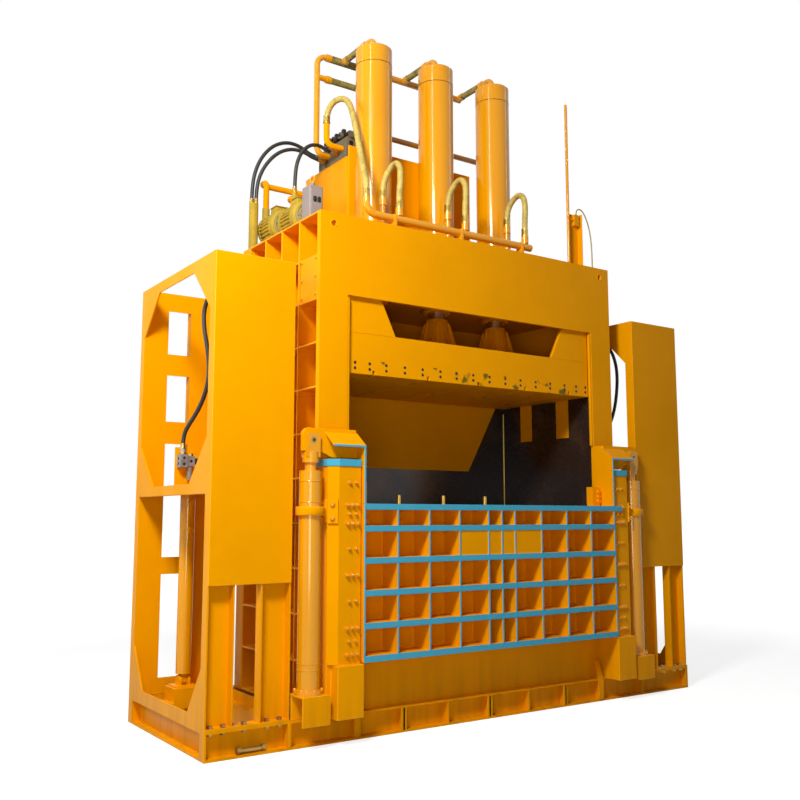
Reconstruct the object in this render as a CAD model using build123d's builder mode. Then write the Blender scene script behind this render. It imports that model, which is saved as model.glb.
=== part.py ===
from build123d import *
from math import cos, pi, radians, sin, tan
import os

# Three-cylinder upright baler with a lift-up front door, in millimetres.
# X runs across the front, Y from front to rear and Z up from the floor.
# The origin is on the floor under the middle of the machine.

os.makedirs("parts", exist_ok=True)

# Depths, from the door's front back to the overhanging rear edge of the oil tank
door_depth = 220.0
door_clear = 10.0             # door back to the portal plate
portal_t = 30.0
body_depth = 1176.0           # portal front to the chamber's rear face
rear_wall_t = 120.0
tank_overhang = 194.0         # top of the tank, behind the rear wall
base_lip = 60.0               # base in front of the portal plate
base_tail = 76.0              # base behind the rear wall
overall_depth = door_depth + door_clear + body_depth + rear_wall_t + tank_overhang
door_front = -overall_depth / 2
door_back = door_front + door_depth
portal_front = door_back + door_clear
portal_back = portal_front + portal_t
chamber_rear = portal_front + body_depth
body_rear = chamber_rear + rear_wall_t
tank_rear = body_rear + tank_overhang
base_front = portal_front - base_lip
base_rear = body_rear + base_tail
press_y = (portal_front + chamber_rear) / 2
wall_depth = chamber_rear - portal_back

# Heights, from the floor up
base_h = 180.0
floor_rise = 360.0            # chamber floor above the base
opening_h = 2559.0            # chamber floor to the portal's lintel
lintel_step = 141.0           # lintel to the underside of the crosshead
crosshead_h = 455.0
floor_top = base_h + floor_rise
opening_top = floor_top + opening_h
crosshead_bottom = opening_top + lintel_step
deck_top = crosshead_bottom + crosshead_h
wall_height = deck_top - base_h

# Chamber walls, with the widths counted from the middle
chamber_half = 1237.0
wall_w = 236.0                # depth of the ribbed side walls
rib_t = 14.0
wall_plate_t = 22.0
wall_cols = 4
wall_rows = 11
rear_cols = 6
rear_rows = 7
hatch_t = 8.0                 # cover plate over one cell of the left wall
hatch_front_gap = 4.0
hatch_rear_gap = 30.0
lifting_hole_d = 48.0
lifting_hole_in = 113.0       # from the portal's side edge
lifting_hole_drop = 83.0      # from the portal's top edge
body_half = chamber_half + wall_w
fit = 0.5                     # clearance round a barrel, pin or rod in its hole
piston_gap = 1.0

# Crosshead and chamber floor
deck_t = 30.0
sole_t = 40.0
inner_web_t = 20.0
floor_plate_t = 60.0
floor_webs = 7

# Wear liners
liner_t = 8.0
liner_h = 2005.0
notch_h = 345.0
notch_w = 165.0
notch_places = (370.0, 848.0)  # behind the portal's front
rear_liner_drop = 620.0       # middle of the rear sheet, below its ends
rear_liner_end = 90.0
rear_liner_slope = 340.0
liner_top = floor_top + liner_h

# Base beams
flange_w = 75.0
flange_t = 14.0
web_t = 12.0
cross_beam_w = 90.0
cross_beams = 8
stiffeners = 7
gusset_in = 57.0              # gussets, inside the chamber's sides
gusset_h = 130.0
gusset_toe = 4.0
gusset_head = 20.0

# Main press
ram_pitch = 645.0
barrel_d = 305.0
barrel_wall = 27.5
barrel_rise = 1705.0          # barrel above the deck
barrel_edge = 8.0
cap_h = 150.0
cap_groove_w = 4.0
cap_groove_deep = 3.0
gland_h = 60.0
deck_flange_rim = 17.5
deck_flange_t = 30.0
port_d = 90.0
port_h = 20.0
ram_rod_d = 140.0
piston_h = 90.0
piston_clear = 30.0           # piston to the cap when the platen is up
barrel_bore = barrel_d - 2 * barrel_wall
deck_flange_d = barrel_d + 2 * deck_flange_rim
barrel_top = deck_top + barrel_rise
port_top = barrel_top + port_h

# Platen, and the position rod that stands on it
platen_gap = 17.0             # platen to the chamber walls
platen_front_gap = 5.0
platen_hang = 705.0           # sole below the crosshead
platen_h = 305.0
platen_plate = 60.0
platen_web = 30.0
ear_clear = 60.0              # guide ears to the crosshead
ear_w = 425.0
ear_slope = 165.0
socket_clear = 110.0          # rod sockets to the crosshead
socket_low_r = 184.0
socket_high_r = 110.0
socket_rib = 37.0             # ribs outside the socket's core, at the foot
socket_rib_top = 15.0
socket_rib_edge = 40.0
socket_ribs = 8
strap_pitch = 495.0
strap_count = 5
strap_w = 22.0
strap_deep = 32.0
gauge_in = 157.0              # position rod, inside the chamber's side
gauge_back = 55.0
gauge_d = 26.0
gauge_rise = 1485.0
gauge_clear = 6.0
gauge_boss = 5.0
gauge_boss_h = 70.0
gauge_plate_w = 90.0
gauge_plate_t = 20.0
gauge_plate_back = 40.0
platen_half = chamber_half - platen_gap
platen_front = portal_back + platen_front_gap
platen_rear = chamber_rear - platen_gap
platen_bottom = crosshead_bottom - platen_hang
platen_top = platen_bottom + platen_h
ear_top = crosshead_bottom - ear_clear
socket_top = crosshead_bottom - socket_clear
gauge_x = chamber_half - gauge_in
gauge_y = portal_back + gauge_back
gauge_top = deck_top + gauge_rise

# Lift door
door_drop = 8.0               # door below the chamber floor
door_h = 1061.0
door_side_gap = 6.0
door_rail = 42.0
door_rib = 14.0
door_skin = 20.0
door_rows = 4                 # equal rows of cells, under one narrow row
narrow_row = 149.0
door_cols = 4                 # equal columns each side of the two middle ones
middle_col = 131.0
flush_deep = 8.0              # recess of the cells that are plated over
side_plate_t = 14.0
rail_tail = 88.0              # right end of the top rail, past the door
tail_t = 12.0
stud_pitch = 402.0
stud_shift = 16.0
stud_count = 3
stud_d = 30.0
stud_h = 68.0
door_bottom = floor_top - door_drop
door_top = door_bottom + door_h
door_half = chamber_half - door_side_gap

# Lift arms and the corner blocks between them
arm_h = 512.0                 # side plates above the door
slope_drop = 115.0            # front edge of the sloped cap plate, below its top
cap_plate_t = 14.0
cap_flat = 5.0                # level strip behind the slope
cap_short = 102.0             # cap plate, short of the lift cylinder's axis
ear_t = 40.0
ear_reach = 70.0
ear_drop = 75.0
ear_neck = 80.0
ear_corner = 45.0
arm_clear = 12.0              # arm to the post cap under it
pin_drop = 85.0
pin_d = 42.0
pin_head_rim = 10.0
pin_head_t = 12.0
block_w = 95.0
block_h = 160.0
block_deep = 70.0
block_back = 5.0
block_bolts = 3
block_bolt_h = 18.0
block_bolt_r = 18.0
side_plate_top = door_top + arm_h
pin_z = side_plate_top - pin_drop

# Guide posts and foot blocks
post_gap = 8.0
post_w = 177.0
post_chamfer = 56.0
post_reach = 197.0            # post in front of the portal plate
post_wall = 12.0
post_drop = 175.0             # post below the lift pin
post_cap_t = 50.0
cap_lip = 8.0
foot_clear = 6.0              # foot blocks to the door above them
foot_reach = 230.0
foot_in = 10.0                # foot block's step towards the middle
foot_w = 204.0
bolt_r = 15.0
bolt_h = 13.0
small_bolt_r = 13.0
three_bolts = (32.0, 72.0, 112.0)
two_bolts = (44.0, 96.0)
three_rows = (0.050, 0.180, 0.445, 0.707, 0.802)  # shares of the post's height
two_rows = (0.116, 0.315, 0.579, 0.756, 0.917)
post_in = door_half + post_gap
post_out = post_in + post_w + post_chamfer
post_front = portal_front - post_reach
post_top = pin_z - post_drop
foot_top = door_bottom - foot_clear

# Lift cylinders
lift_d = 154.0
lift_wall = 17.0
lift_rise = 170.0             # foot flange above the base
lift_flange_rim = 23.0
lift_flange_t = 25.0
lift_gland = 60.0
lift_rod_d = 80.0
lift_piston_h = 70.0
lift_piston_clear = 10.0
lift_forward = 95.0           # axis in front of the portal plate
clamp_rim = 22.0
clamp_gap = 9.0               # clamp ring to the post
clamp_h = 58.0
clamp_drop = 270.0
clamp_arm = 36.0
clamp_foot_w = 90.0
clamp_foot_h = 150.8
bracket_t = 14.0
bracket_back = 20.0           # bracket's front, behind the door's
bracket_drop = 22.0
bracket_rear_step = 10.0
fork_gap = 1.0
fork_t = 24.0
fork_w = 100.0
fork_corner = 22.0
fork_drop = 153.0             # root of the fork, below the pin
fork_root_rim = 16.0
fork_root_h = 74.0
rod_show = 55.0               # rod between the gland and the fork
lift_bore = lift_d - 2 * lift_wall
lift_flange_d = lift_d + 2 * lift_flange_rim
clamp_d = lift_d + 2 * clamp_rim
lift_x = post_out + clamp_gap + clamp_d / 2
lift_y = portal_front - lift_forward
lift_bottom = base_h + lift_rise
fork_low = pin_z - fork_drop
lift_top = fork_low - rod_show
clamp_z = lift_top - clamp_drop

# Side frames
frame_clear = 13.0            # lift cylinder's foot to the side frame
frame_w = 590.0
frame_h = 3070.0
outer_post_w = 189.0
inner_post_w = 217.0
panel_t = 10.0
panel_rise = 889.0
shelf_rise = 1541.0
shelf_h = 68.0
tie_h = 75.0                  # side ties at the top and bottom of a frame
frame_plate_t = 12.0
foot_plate_t = 14.0
foot_gusset = 210.0
corner_gusset = 300.0
shelf_gusset = 290.0
low_cross_plates = ((0.0, 127.0), (891.0, 1019.0))                   # up from the base
high_cross_plates = ((1185.0, 1013.0), (650.0, 484.0), (140.0, 0.0))  # down from the top
rod_hole_gap = 15.0
frame_inner = lift_x + lift_flange_d / 2 + frame_clear
frame_outer = frame_inner + frame_w
frame_top = base_h + frame_h
shelf_top = base_h + shelf_rise
panel_bottom = base_h + panel_rise

# Bolts of the outriggers, and the drawbolt in the front channel
base_bolt_r = 20.0
base_bolt_h = 16.0
base_bolt_back = 38.0
inner_bolts = (60.0, 150.0)   # from the frame's inner face
outer_bolt_in = 50.0          # from the outer post's edges
drawbolt_l = 150.0
drawbolt_r = 15.0
drawbolt_in = 330.0
drawbolt_back = 30.0
drawbolt_hex_r = 21.0
drawbolt_hex_t = 24.0

# Side cylinders
side_in = 312.0               # axis outside the frame's inner face
side_ahead = 352.0            # axis in front of the base's rear edge
side_d = 110.0
side_wall_t = 13.0
side_rod_d = 56.0
side_rod_show = 34.0
side_gland = 40.0
side_piston_h = 50.0
side_piston_clear = 10.0
side_rise = 92.0              # barrel above its pedestal
side_flange = (210.0, 190.0)
side_flange_t = 22.0
side_port_r = 22.0
side_port_l = 40.0
side_port_drops = (100.0, 300.0)
pedestal_w = 200.0
pedestal_h = 100.0
bridge_t = 40.0
seat_w = 160.0
seat_t = 12.0
cheek_r = 40.0
cheek_t = 20.0
lug_r = 28.0
lug_t = 44.0
lug_pin_r = 15.0
lug_drop = 50.0
side_x = frame_inner + side_in
side_y = base_rear - side_ahead
side_bore = side_d - 2 * side_wall_t
pedestal_top = base_h + pedestal_h
side_bottom = pedestal_top + side_rise
lug_z = side_bottom - lug_drop

# Shelf valves, and the bulkheads of the side hoses
valve_in = 392.0
valve_ahead = 120.0
valve_plate_w = 150.0
valve_plate_t = 10.0
valve_plate_h = 290.0
valve_foot = 70.0
valve_w = 60.0
valve_deep = 70.0
valve_low = 140.0
valve_h = 95.0
valve_split = 2.0             # joint between body and block, off the middle
block_valve_deep = 54.0
block_valve_inset = 10.0
fitting_r = 20.0
fitting_h = 44.0
drain_h = 104.0
drain_low = 48.0
bulkhead_l = 40.0
bulkhead_back = 600.0
collar = 6.0                  # fittings outside a hose
valve_x = frame_inner + valve_in
valve_y = side_y - valve_ahead

# Oil tank and valve manifold
tank_left = -790.0
tank_right = 510.0
tank_gap = 36.0               # barrels to the tank
tank_h = 810.0
tank_wall = 8.0
tank_plate_t = 16.0
tank_plate_rise = 95.0
manifold_w = 280.0
manifold_l = 470.0
manifold_h = 195.0
manifold_in = 10.0
manifold_back = 25.0
manifold_edge = 12.0
outlet_rise = 100.0           # pipes on the manifold's left face
spool_count = 3
spool_pitch = 120.0
spool_shift = (30.0, 40.0)
spool_box = (150.0, 84.0, 110.0)
solenoid_r = 30.0
solenoid_l = 74.0
solenoid_rise = 60.0
solenoid_sink = 2.0           # coil ends let into the valve
tail_l = 30.0
tail_places = ((453.5, 135.0), (393.5, 85.0), (183.5, 85.0))  # behind the tank's front and above its top
tank_front = press_y + barrel_d / 2 + tank_gap
tank_top = deck_top + tank_h
tank_plate_top = tank_top + tank_plate_rise
manifold_top = tank_top + manifold_h

# Pump motors, terminal box and hose sleeve along the deck's left edge
motor_in = 248.0              # rear motor, inside the body's left face
motor_step = 40.0             # front motor, further in
motor_ahead = 156.0
motor_pitch = 295.0
motor_d = 290.0
motor_l = 280.0
motor_rise = 190.0
motor_flange_t = 24.0
motor_body_step = 16.0
fan_lip = 6.0
fan_bevel = 18.0
motor_foot = (60.0, 140.0)
motor_leg = (70.0, 90.0)
motor_foot_t = 20.0
motor_leg_short = 70.0
inlet_rise = 470.0
suction_rise = 385.0
box_ahead = 225.0
box_shift = 25.0
box_size = (120.0, 130.0, 400.0)
box_corner = 10.0
box_eye_r = 16.0
box_eye_h = 50.0
sleeve_in = 58.0
sleeve_ahead = 56.0
sleeve_r = 38.0
sleeve_rise = 405.0
motor_x = -(body_half - motor_in)
motor_y = body_rear - motor_ahead
motor_z = deck_top + motor_rise
motor_places = ((motor_x + motor_step, motor_y - motor_pitch), (motor_x, motor_y))
pump_back = motor_l / 3 + motor_flange_t / 2
inlet_x = motor_x + motor_step
inlet_y = motor_y - motor_pitch + pump_back
inlet_top = deck_top + inlet_rise
sleeve_top = deck_top + sleeve_rise

# Pipework
pipe_d = 50.0
pipe_bend = 90.0
pipe_collar = 8.0
collar_l = 44.0
suction_out = 75.0
suction_back = 44.0
suction_drop = 190.0
suction_step = 80.0
stand_in = 185.0
stand_back = 5.0
suction_collar = 9.0
suction_collar_l = 36.0
suction_collar_out = 60.0
elbow_out = 145.0
elbow_back = 93.5
elbow_rise = 285.0
return_back = 512.0
return_rise = 110.0
return_pipe_rim = 4.0
return_pipe_end = 30.0
return_collars = (150.0, 452.0)  # behind the barrels' row
riser_out = 115.0
tee_drop = 200.0
low_pipe_drop = 583.0
drop_x = -300.0
low_pipe_right = 950.0
feed_d = 60.0
feed_back = 40.0
feed_rise = 75.0
feed_end_rise = 200.0
feed_left = -1040.0
feed_right_end = 60.0
stub_dx = -95.0               # feed stubs, beside each barrel
stub_rise = 165.0
stub_neck = 4.0
stub_nut = 5.0
stub_nut_h = 60.0
back_stub_dy = 230.0
back_stub_rise = 315.0
saddle_dx = -150.0
saddle_t = 20.0
saddle_w = 76.0
return_y = press_y + return_back
return_z = barrel_top + return_rise
riser_x = tank_left - riser_out
tee_z = return_z - tee_drop
low_pipe_z = return_z - low_pipe_drop
feed_y = portal_back + feed_back
feed_z = deck_top + feed_rise
feed_end_z = deck_top + feed_end_rise
stub_top = deck_top + stub_rise
back_stub_top = deck_top + back_stub_rise
elbow_x = tank_left - elbow_out
elbow_y = tank_front + elbow_back
elbow_z = tank_top + elbow_rise
suction_x = motor_x - suction_out
suction_y = body_rear + suction_back
suction_z = tank_top - suction_drop
suction_end = deck_top + suction_rise
stand_x = motor_x + stand_in
pump_y = motor_y + pump_back
stand_y = pump_y + stand_back
suction_bend = 0.45 * (suction_y - stand_y)  # as large as the short run allows
feed_bend = 0.72 * (feed_end_z - feed_z)
cap_bend = 0.8 * (return_z - port_top)

# Limit switch post beside the position rod
switch_dx = 95.0
switch_post_left = 40.0
switch_post_right = 60.0
switch_rise = 490.0
switch_t = 8.0
switch_front = 20.0
switch_back = 38.0
switch_foot_t = 10.0
switch_box_x = (-25.0, 35.0)
switch_box_front = 10.0
switch_box_h = 100.0
switch_box_drop = 10.0
roller_r = 8.0
roller_l = 40.0
roller_drop = 60.0
gland_dx = 199.0
gland_dy = 5.0
gland_r = 14.0
gland_rise = 20.0
switch_x = gauge_x + switch_dx
switch_top = deck_top + switch_rise
gland_x = switch_x + gland_dx
gland_y = gauge_y + gland_dy

# Free hoses
hose_d = 50.0
black_hose_d = 32.0
lead_d = 12.0

SIDES = (("left", -1), ("right", 1))
ram_places = (("left", -ram_pitch), ("middle", 0.0), ("right", ram_pitch))


def front_plane(y):
    """Upright plane across the machine: local x is X, local y is Z, and it faces the front."""
    return Plane(origin=(0, y, 0), x_dir=(1, 0, 0), z_dir=(0, -1, 0))


def end_plane(x):
    """Upright plane along the machine: local x is Y, local y is Z, and it faces +X."""
    return Plane(origin=(x, 0, 0), x_dir=(0, 1, 0), z_dir=(1, 0, 0))


def axis_plane(x, y):
    """Upright plane through an upright axis: local x is the radius, local y is Z."""
    return Plane(origin=(x, y, 0), x_dir=(1, 0, 0), z_dir=(0, -1, 0))


def plate(x, y, z, mode=Mode.ADD):
    """A flat plate or a cut-out in the open part, from its pairs of limits along X, Y and Z."""
    with Locations(((x[0] + x[1]) / 2, (y[0] + y[1]) / 2, (z[0] + z[1]) / 2)):
        Box(abs(x[1] - x[0]), abs(y[1] - y[0]), abs(z[1] - z[0]), mode=mode)


def upright(x, y, z, radius, mode=Mode.ADD):
    """A round bar or hole in the open part, upright between two heights."""
    with Locations((x, y, (z[0] + z[1]) / 2)):
        Cylinder(radius, z[1] - z[0], mode=mode)


def lengthwise(x, y, z, radius, mode=Mode.ADD):
    """A round bar or hole in the open part, along X between two limits."""
    with Locations(Plane(origin=((x[0] + x[1]) / 2, y, z), z_dir=(1, 0, 0))):
        Cylinder(radius, abs(x[1] - x[0]), mode=mode)


def tube(points, diameter, radii):
    """A round bar swept along straight runs joined by arcs: one radius, or one for each corner."""
    with BuildPart() as run:
        with BuildLine():
            FilletPolyline(*points, radius=radii)
        with BuildSketch(Plane(origin=points[0], z_dir=Vector(*points[1]) - Vector(*points[0]))):
            Circle(diameter / 2)
        sweep()
    return run.part


def save(builder, label):
    """Labels a finished piece and writes its file."""
    builder.part.label = label
    export_step(builder.part, f"parts/{label}.step")


def cord(label, points, diameter):
    """A free hose: straight runs with each corner rounded as far as its shorter run allows."""
    runs = [Vector(*b) - Vector(*a) for a, b in zip(points, points[1:])]
    radii = []
    for before, after in zip(runs, runs[1:]):
        half_turn = radians(before.get_angle(after) / 2)
        radii.append(0.45 * min(before.length, after.length) / tan(half_turn))
    hose = tube(points, diameter, radii)
    hose.label = label
    export_step(hose, f"parts/{label}.step")
    print(label, "tightest radius", round(min(radii)), "length", round(hose.volume / (pi * diameter**2 / 4)))


# Base frame: two outward channels, cross beams between them, web stiffeners and front gussets
recess = flange_w - web_t
gusset_x = chamber_half - gusset_in
with BuildPart() as base_frame:
    with BuildSketch(end_plane(-frame_inner)):
        for edge, inward in ((base_front, 1), (base_rear, -1)):
            with Locations((edge + inward * flange_w / 2, base_h / 2)):
                Rectangle(flange_w, base_h)
            with Locations((edge + inward * recess / 2, base_h / 2)):
                Rectangle(recess, base_h - 2 * flange_t, mode=Mode.SUBTRACT)
    extrude(amount=2 * frame_inner)
    beam_span = base_rear - base_front - 2 * flange_w
    beam_pitch = (2 * frame_inner - cross_beam_w) / (cross_beams - 1)
    with Locations((0, (base_front + base_rear) / 2, base_h / 2)):
        with GridLocations(beam_pitch, beam_span, cross_beams, 1):
            Box(cross_beam_w, beam_span, base_h)
    stiffener_pitch = 2 * gusset_x / (stiffeners - 1)
    for edge, inward in ((base_front, 1), (base_rear, -1)):
        with Locations((0, edge + inward * recess / 2, base_h / 2)):
            with GridLocations(stiffener_pitch, 1, stiffeners, 1):
                Box(rib_t, recess, base_h - 2 * flange_t)
            with GridLocations(2 * frame_inner - rib_t, 1, 2, 1):
                Box(rib_t, recess, base_h - 2 * flange_t)
    with BuildSketch(*[end_plane(x - rib_t / 2) for x in (-gusset_x, gusset_x)]):
        with BuildLine():
            Polyline((base_front + gusset_toe, base_h), (portal_front, base_h),
                     (portal_front, base_h + gusset_h), (portal_front - gusset_head, base_h + gusset_h),
                     close=True)
        make_face()
    extrude(amount=rib_t)
save(base_frame, "base_frame")

# Outrigger bases: a closed ring of channels with the web set back, and a pedestal for the side cylinder
for name, side in SIDES:
    x_in, x_out = side * frame_inner, side * frame_outer
    ring_x = (x_in + side * flange_w, x_out - side * flange_w)
    pedestal_x = (side * side_x - pedestal_w / 2, side * side_x + pedestal_w / 2)
    pedestal_y = (side_y - pedestal_w / 2, side_y + pedestal_w / 2)
    hollow = (flange_t, base_h - flange_t)
    with BuildPart() as outrigger:
        plate((x_in, x_out), (base_front, base_rear), (0, base_h))
        plate(ring_x, (base_front + flange_w, base_rear - flange_w), (0, base_h), Mode.SUBTRACT)
        for edge, inward in ((base_front, 1), (base_rear, -1)):
            plate((x_in + side * rib_t, x_out - side * rib_t), (edge, edge + inward * recess), hollow,
                  Mode.SUBTRACT)
        plate((x_out, x_out - side * recess), (base_front + recess + rib_t, base_rear - recess - rib_t),
              hollow, Mode.SUBTRACT)
        plate(ring_x, pedestal_y, (base_h - bridge_t, base_h))
        plate(pedestal_x, pedestal_y, (base_h, pedestal_top))
        plate((side * side_x - seat_w / 2, side * side_x + seat_w / 2),
              (side_y - seat_w / 2, side_y + seat_w / 2), (pedestal_top, pedestal_top + seat_t))
        for cheek in (-1, 1):
            cheek_x = side * side_x + cheek * (lug_t / 2 + fork_gap + cheek_t / 2)
            with BuildSketch(end_plane(cheek_x - cheek_t / 2)):
                with Locations((side_y, lug_z)):
                    Circle(cheek_r)
                with Locations((side_y, (pedestal_top + lug_z) / 2)):
                    Rectangle(2 * cheek_r, lug_z - pedestal_top)
            extrude(amount=cheek_t)
        pin_half = lug_t / 2 + fork_gap + cheek_t
        lengthwise((side * side_x - pin_half, side * side_x + pin_half), side_y, lug_z, lug_pin_r)
    save(outrigger, f"outrigger_base_{name}")

# Front portal: one plate with the feed and door opening, and a lifting hole in each top corner
lifting_hole_x = body_half - lifting_hole_in
lifting_hole_z = deck_top - lifting_hole_drop
with BuildPart() as front_portal:
    with BuildSketch(front_plane(portal_back)):
        with Locations((0, (base_h + deck_top) / 2)):
            Rectangle(2 * body_half, wall_height)
        with Locations((0, (floor_top + opening_top) / 2)):
            Rectangle(2 * chamber_half, opening_h, mode=Mode.SUBTRACT)
        with Locations((-lifting_hole_x, lifting_hole_z), (lifting_hole_x, lifting_hole_z)):
            Circle(lifting_hole_d / 2, mode=Mode.SUBTRACT)
    extrude(amount=portal_t)
save(front_portal, "front_portal")

# Side walls: an inner plate with a box lattice of ribs welded to its outside
cell_y = (wall_depth - rib_t) / wall_cols
cell_z = (wall_height - rib_t) / wall_rows
hatch_z = deck_top - 1.5 * cell_z
for name, side in SIDES:
    with BuildPart() as side_wall:
        plate((side * chamber_half, side * body_half), (portal_back, chamber_rear), (base_h, deck_top))
        with BuildSketch(end_plane(side * body_half)):
            with Locations(((portal_back + chamber_rear) / 2, (base_h + deck_top) / 2)):
                with GridLocations(cell_y, cell_z, wall_cols, wall_rows):
                    Rectangle(cell_y - rib_t, cell_z - rib_t)
        extrude(amount=-side * (wall_w - wall_plate_t), mode=Mode.SUBTRACT)
        if side < 0:
            plate((side * body_half, side * (body_half - hatch_t)),
                  (portal_back + hatch_front_gap, portal_back + cell_y - hatch_rear_gap),
                  (hatch_z - cell_z / 2, hatch_z + cell_z / 2))
    save(side_wall, f"{name}_wall")

# Rear wall: a plate across the back with the same lattice, open to the rear
rear_cell_x = (2 * body_half - rib_t) / rear_cols
rear_cell_z = (wall_height - rib_t) / rear_rows
with BuildPart() as rear_wall:
    plate((-body_half, body_half), (chamber_rear, body_rear), (base_h, deck_top))
    with BuildSketch(front_plane(body_rear)):
        with Locations((0, (base_h + deck_top) / 2)):
            with GridLocations(rear_cell_x, rear_cell_z, rear_cols, rear_rows):
                Rectangle(rear_cell_x - rib_t, rear_cell_z - rib_t)
    extrude(amount=rear_wall_t - wall_plate_t, mode=Mode.SUBTRACT)
save(rear_wall, "rear_wall")

# Crosshead: deck plate and sole plate joined by webs, bored for the barrels and the position rod
chamber_x = (-chamber_half, chamber_half)
chamber_y = (portal_back, chamber_rear)
middle_y = (portal_back + chamber_rear) / 2
with BuildPart() as crosshead:
    plate(chamber_x, chamber_y, (deck_top - deck_t, deck_top))
    plate(chamber_x, chamber_y, (crosshead_bottom, crosshead_bottom + sole_t))
    with Locations((0, middle_y, (crosshead_bottom + deck_top) / 2)):
        with GridLocations(2 * chamber_half - inner_web_t, 1, 2, 1):
            Box(inner_web_t, wall_depth, crosshead_h)
        with GridLocations(ram_pitch, 1, len(ram_places) + 1, 1):
            Box(inner_web_t, wall_depth, crosshead_h)
    with BuildSketch(Plane.XY.offset(crosshead_bottom)):
        with Locations(*[(x, press_y) for _, x in ram_places]):
            Circle(barrel_d / 2 + fit)
        with Locations((gauge_x, gauge_y)):
            Circle(gauge_d / 2 + gauge_clear)
    extrude(amount=crosshead_h, mode=Mode.SUBTRACT)
save(crosshead, "crosshead")

# Chamber floor: a grooved plate on webs that run from front to rear
with BuildPart() as chamber_floor:
    plate(chamber_x, chamber_y, (floor_top - floor_plate_t, floor_top))
    with Locations((0, middle_y, (base_h + floor_top) / 2)):
        with GridLocations((2 * chamber_half - inner_web_t) / (floor_webs - 1), 1, floor_webs, 1):
            Box(inner_web_t, wall_depth, floor_rise)
    with BuildSketch(front_plane(chamber_rear)):
        with Locations((0, floor_top - strap_deep / 2)):
            with GridLocations(strap_pitch, 1, strap_count, 1):
                Rectangle(strap_w, strap_deep)
    extrude(amount=wall_depth, mode=Mode.SUBTRACT)
save(chamber_floor, "chamber_floor")

# Wear liners: notched sheets on the side walls, and a rear sheet that rises at its ends
with BuildPart() as side_liners:
    for side in (-1, 1):
        with BuildSketch(end_plane(side * chamber_half)):
            with Locations((middle_y, (floor_top + liner_top) / 2)):
                Rectangle(wall_depth, liner_h)
            with Locations(*[(portal_front + back, liner_top - notch_h / 2) for back in notch_places]):
                Rectangle(notch_w, notch_h, mode=Mode.SUBTRACT)
        extrude(amount=-side * liner_t)
save(side_liners, "side_liners")

liner_half = chamber_half - liner_t
rear_liner_low = liner_top - rear_liner_drop
with BuildPart() as liner_rear:
    with BuildSketch(front_plane(chamber_rear)):
        with BuildLine():
            Polyline((0, floor_top), (liner_half, floor_top), (liner_half, liner_top),
                     (liner_half - rear_liner_end, liner_top),
                     (liner_half - rear_liner_end - rear_liner_slope, rear_liner_low), (0, rear_liner_low),
                     close=True)
        make_face()
        mirror(about=Plane.YZ)
    extrude(amount=liner_t)
save(liner_rear, "liner_rear")

# Main barrels: bored tube with a gland below, a screwed cap above and a deck flange
barrel_r = barrel_d / 2
gland_r_in = ram_rod_d / 2 + fit
groove_top = barrel_top - cap_h
bore_top = barrel_top - cap_h / 2
for name, x in ram_places:
    with BuildPart() as barrel:
        with BuildSketch(axis_plane(x, press_y)):
            with BuildLine():
                Polyline(
                    (gland_r_in, crosshead_bottom), (barrel_r, crosshead_bottom), (barrel_r, deck_top),
                    (deck_flange_d / 2, deck_top), (deck_flange_d / 2, deck_top + deck_flange_t),
                    (barrel_r, deck_top + deck_flange_t), (barrel_r, groove_top - cap_groove_w),
                    (barrel_r - cap_groove_deep, groove_top - cap_groove_w),
                    (barrel_r - cap_groove_deep, groove_top), (barrel_r, groove_top),
                    (barrel_r, barrel_top - barrel_edge), (barrel_r - barrel_edge, barrel_top),
                    (port_d / 2, barrel_top), (port_d / 2, port_top), (0, port_top), (0, bore_top),
                    (barrel_bore / 2, bore_top), (barrel_bore / 2, crosshead_bottom + gland_h),
                    (gland_r_in, crosshead_bottom + gland_h), close=True)
            make_face()
        revolve(axis=Axis((x, press_y, 0), (0, 0, 1)))
    save(barrel, f"main_barrel_{name}")

# Piston rods, each with its piston near the cap when the platen is up
piston_top = bore_top - piston_clear
with BuildPart() as ram_rods:
    for _, x in ram_places:
        upright(x, press_y, (socket_top, piston_top), ram_rod_d / 2)
        upright(x, press_y, (piston_top - piston_h, piston_top), barrel_bore / 2 - piston_gap)
save(ram_rods, "ram_rods")

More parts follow.
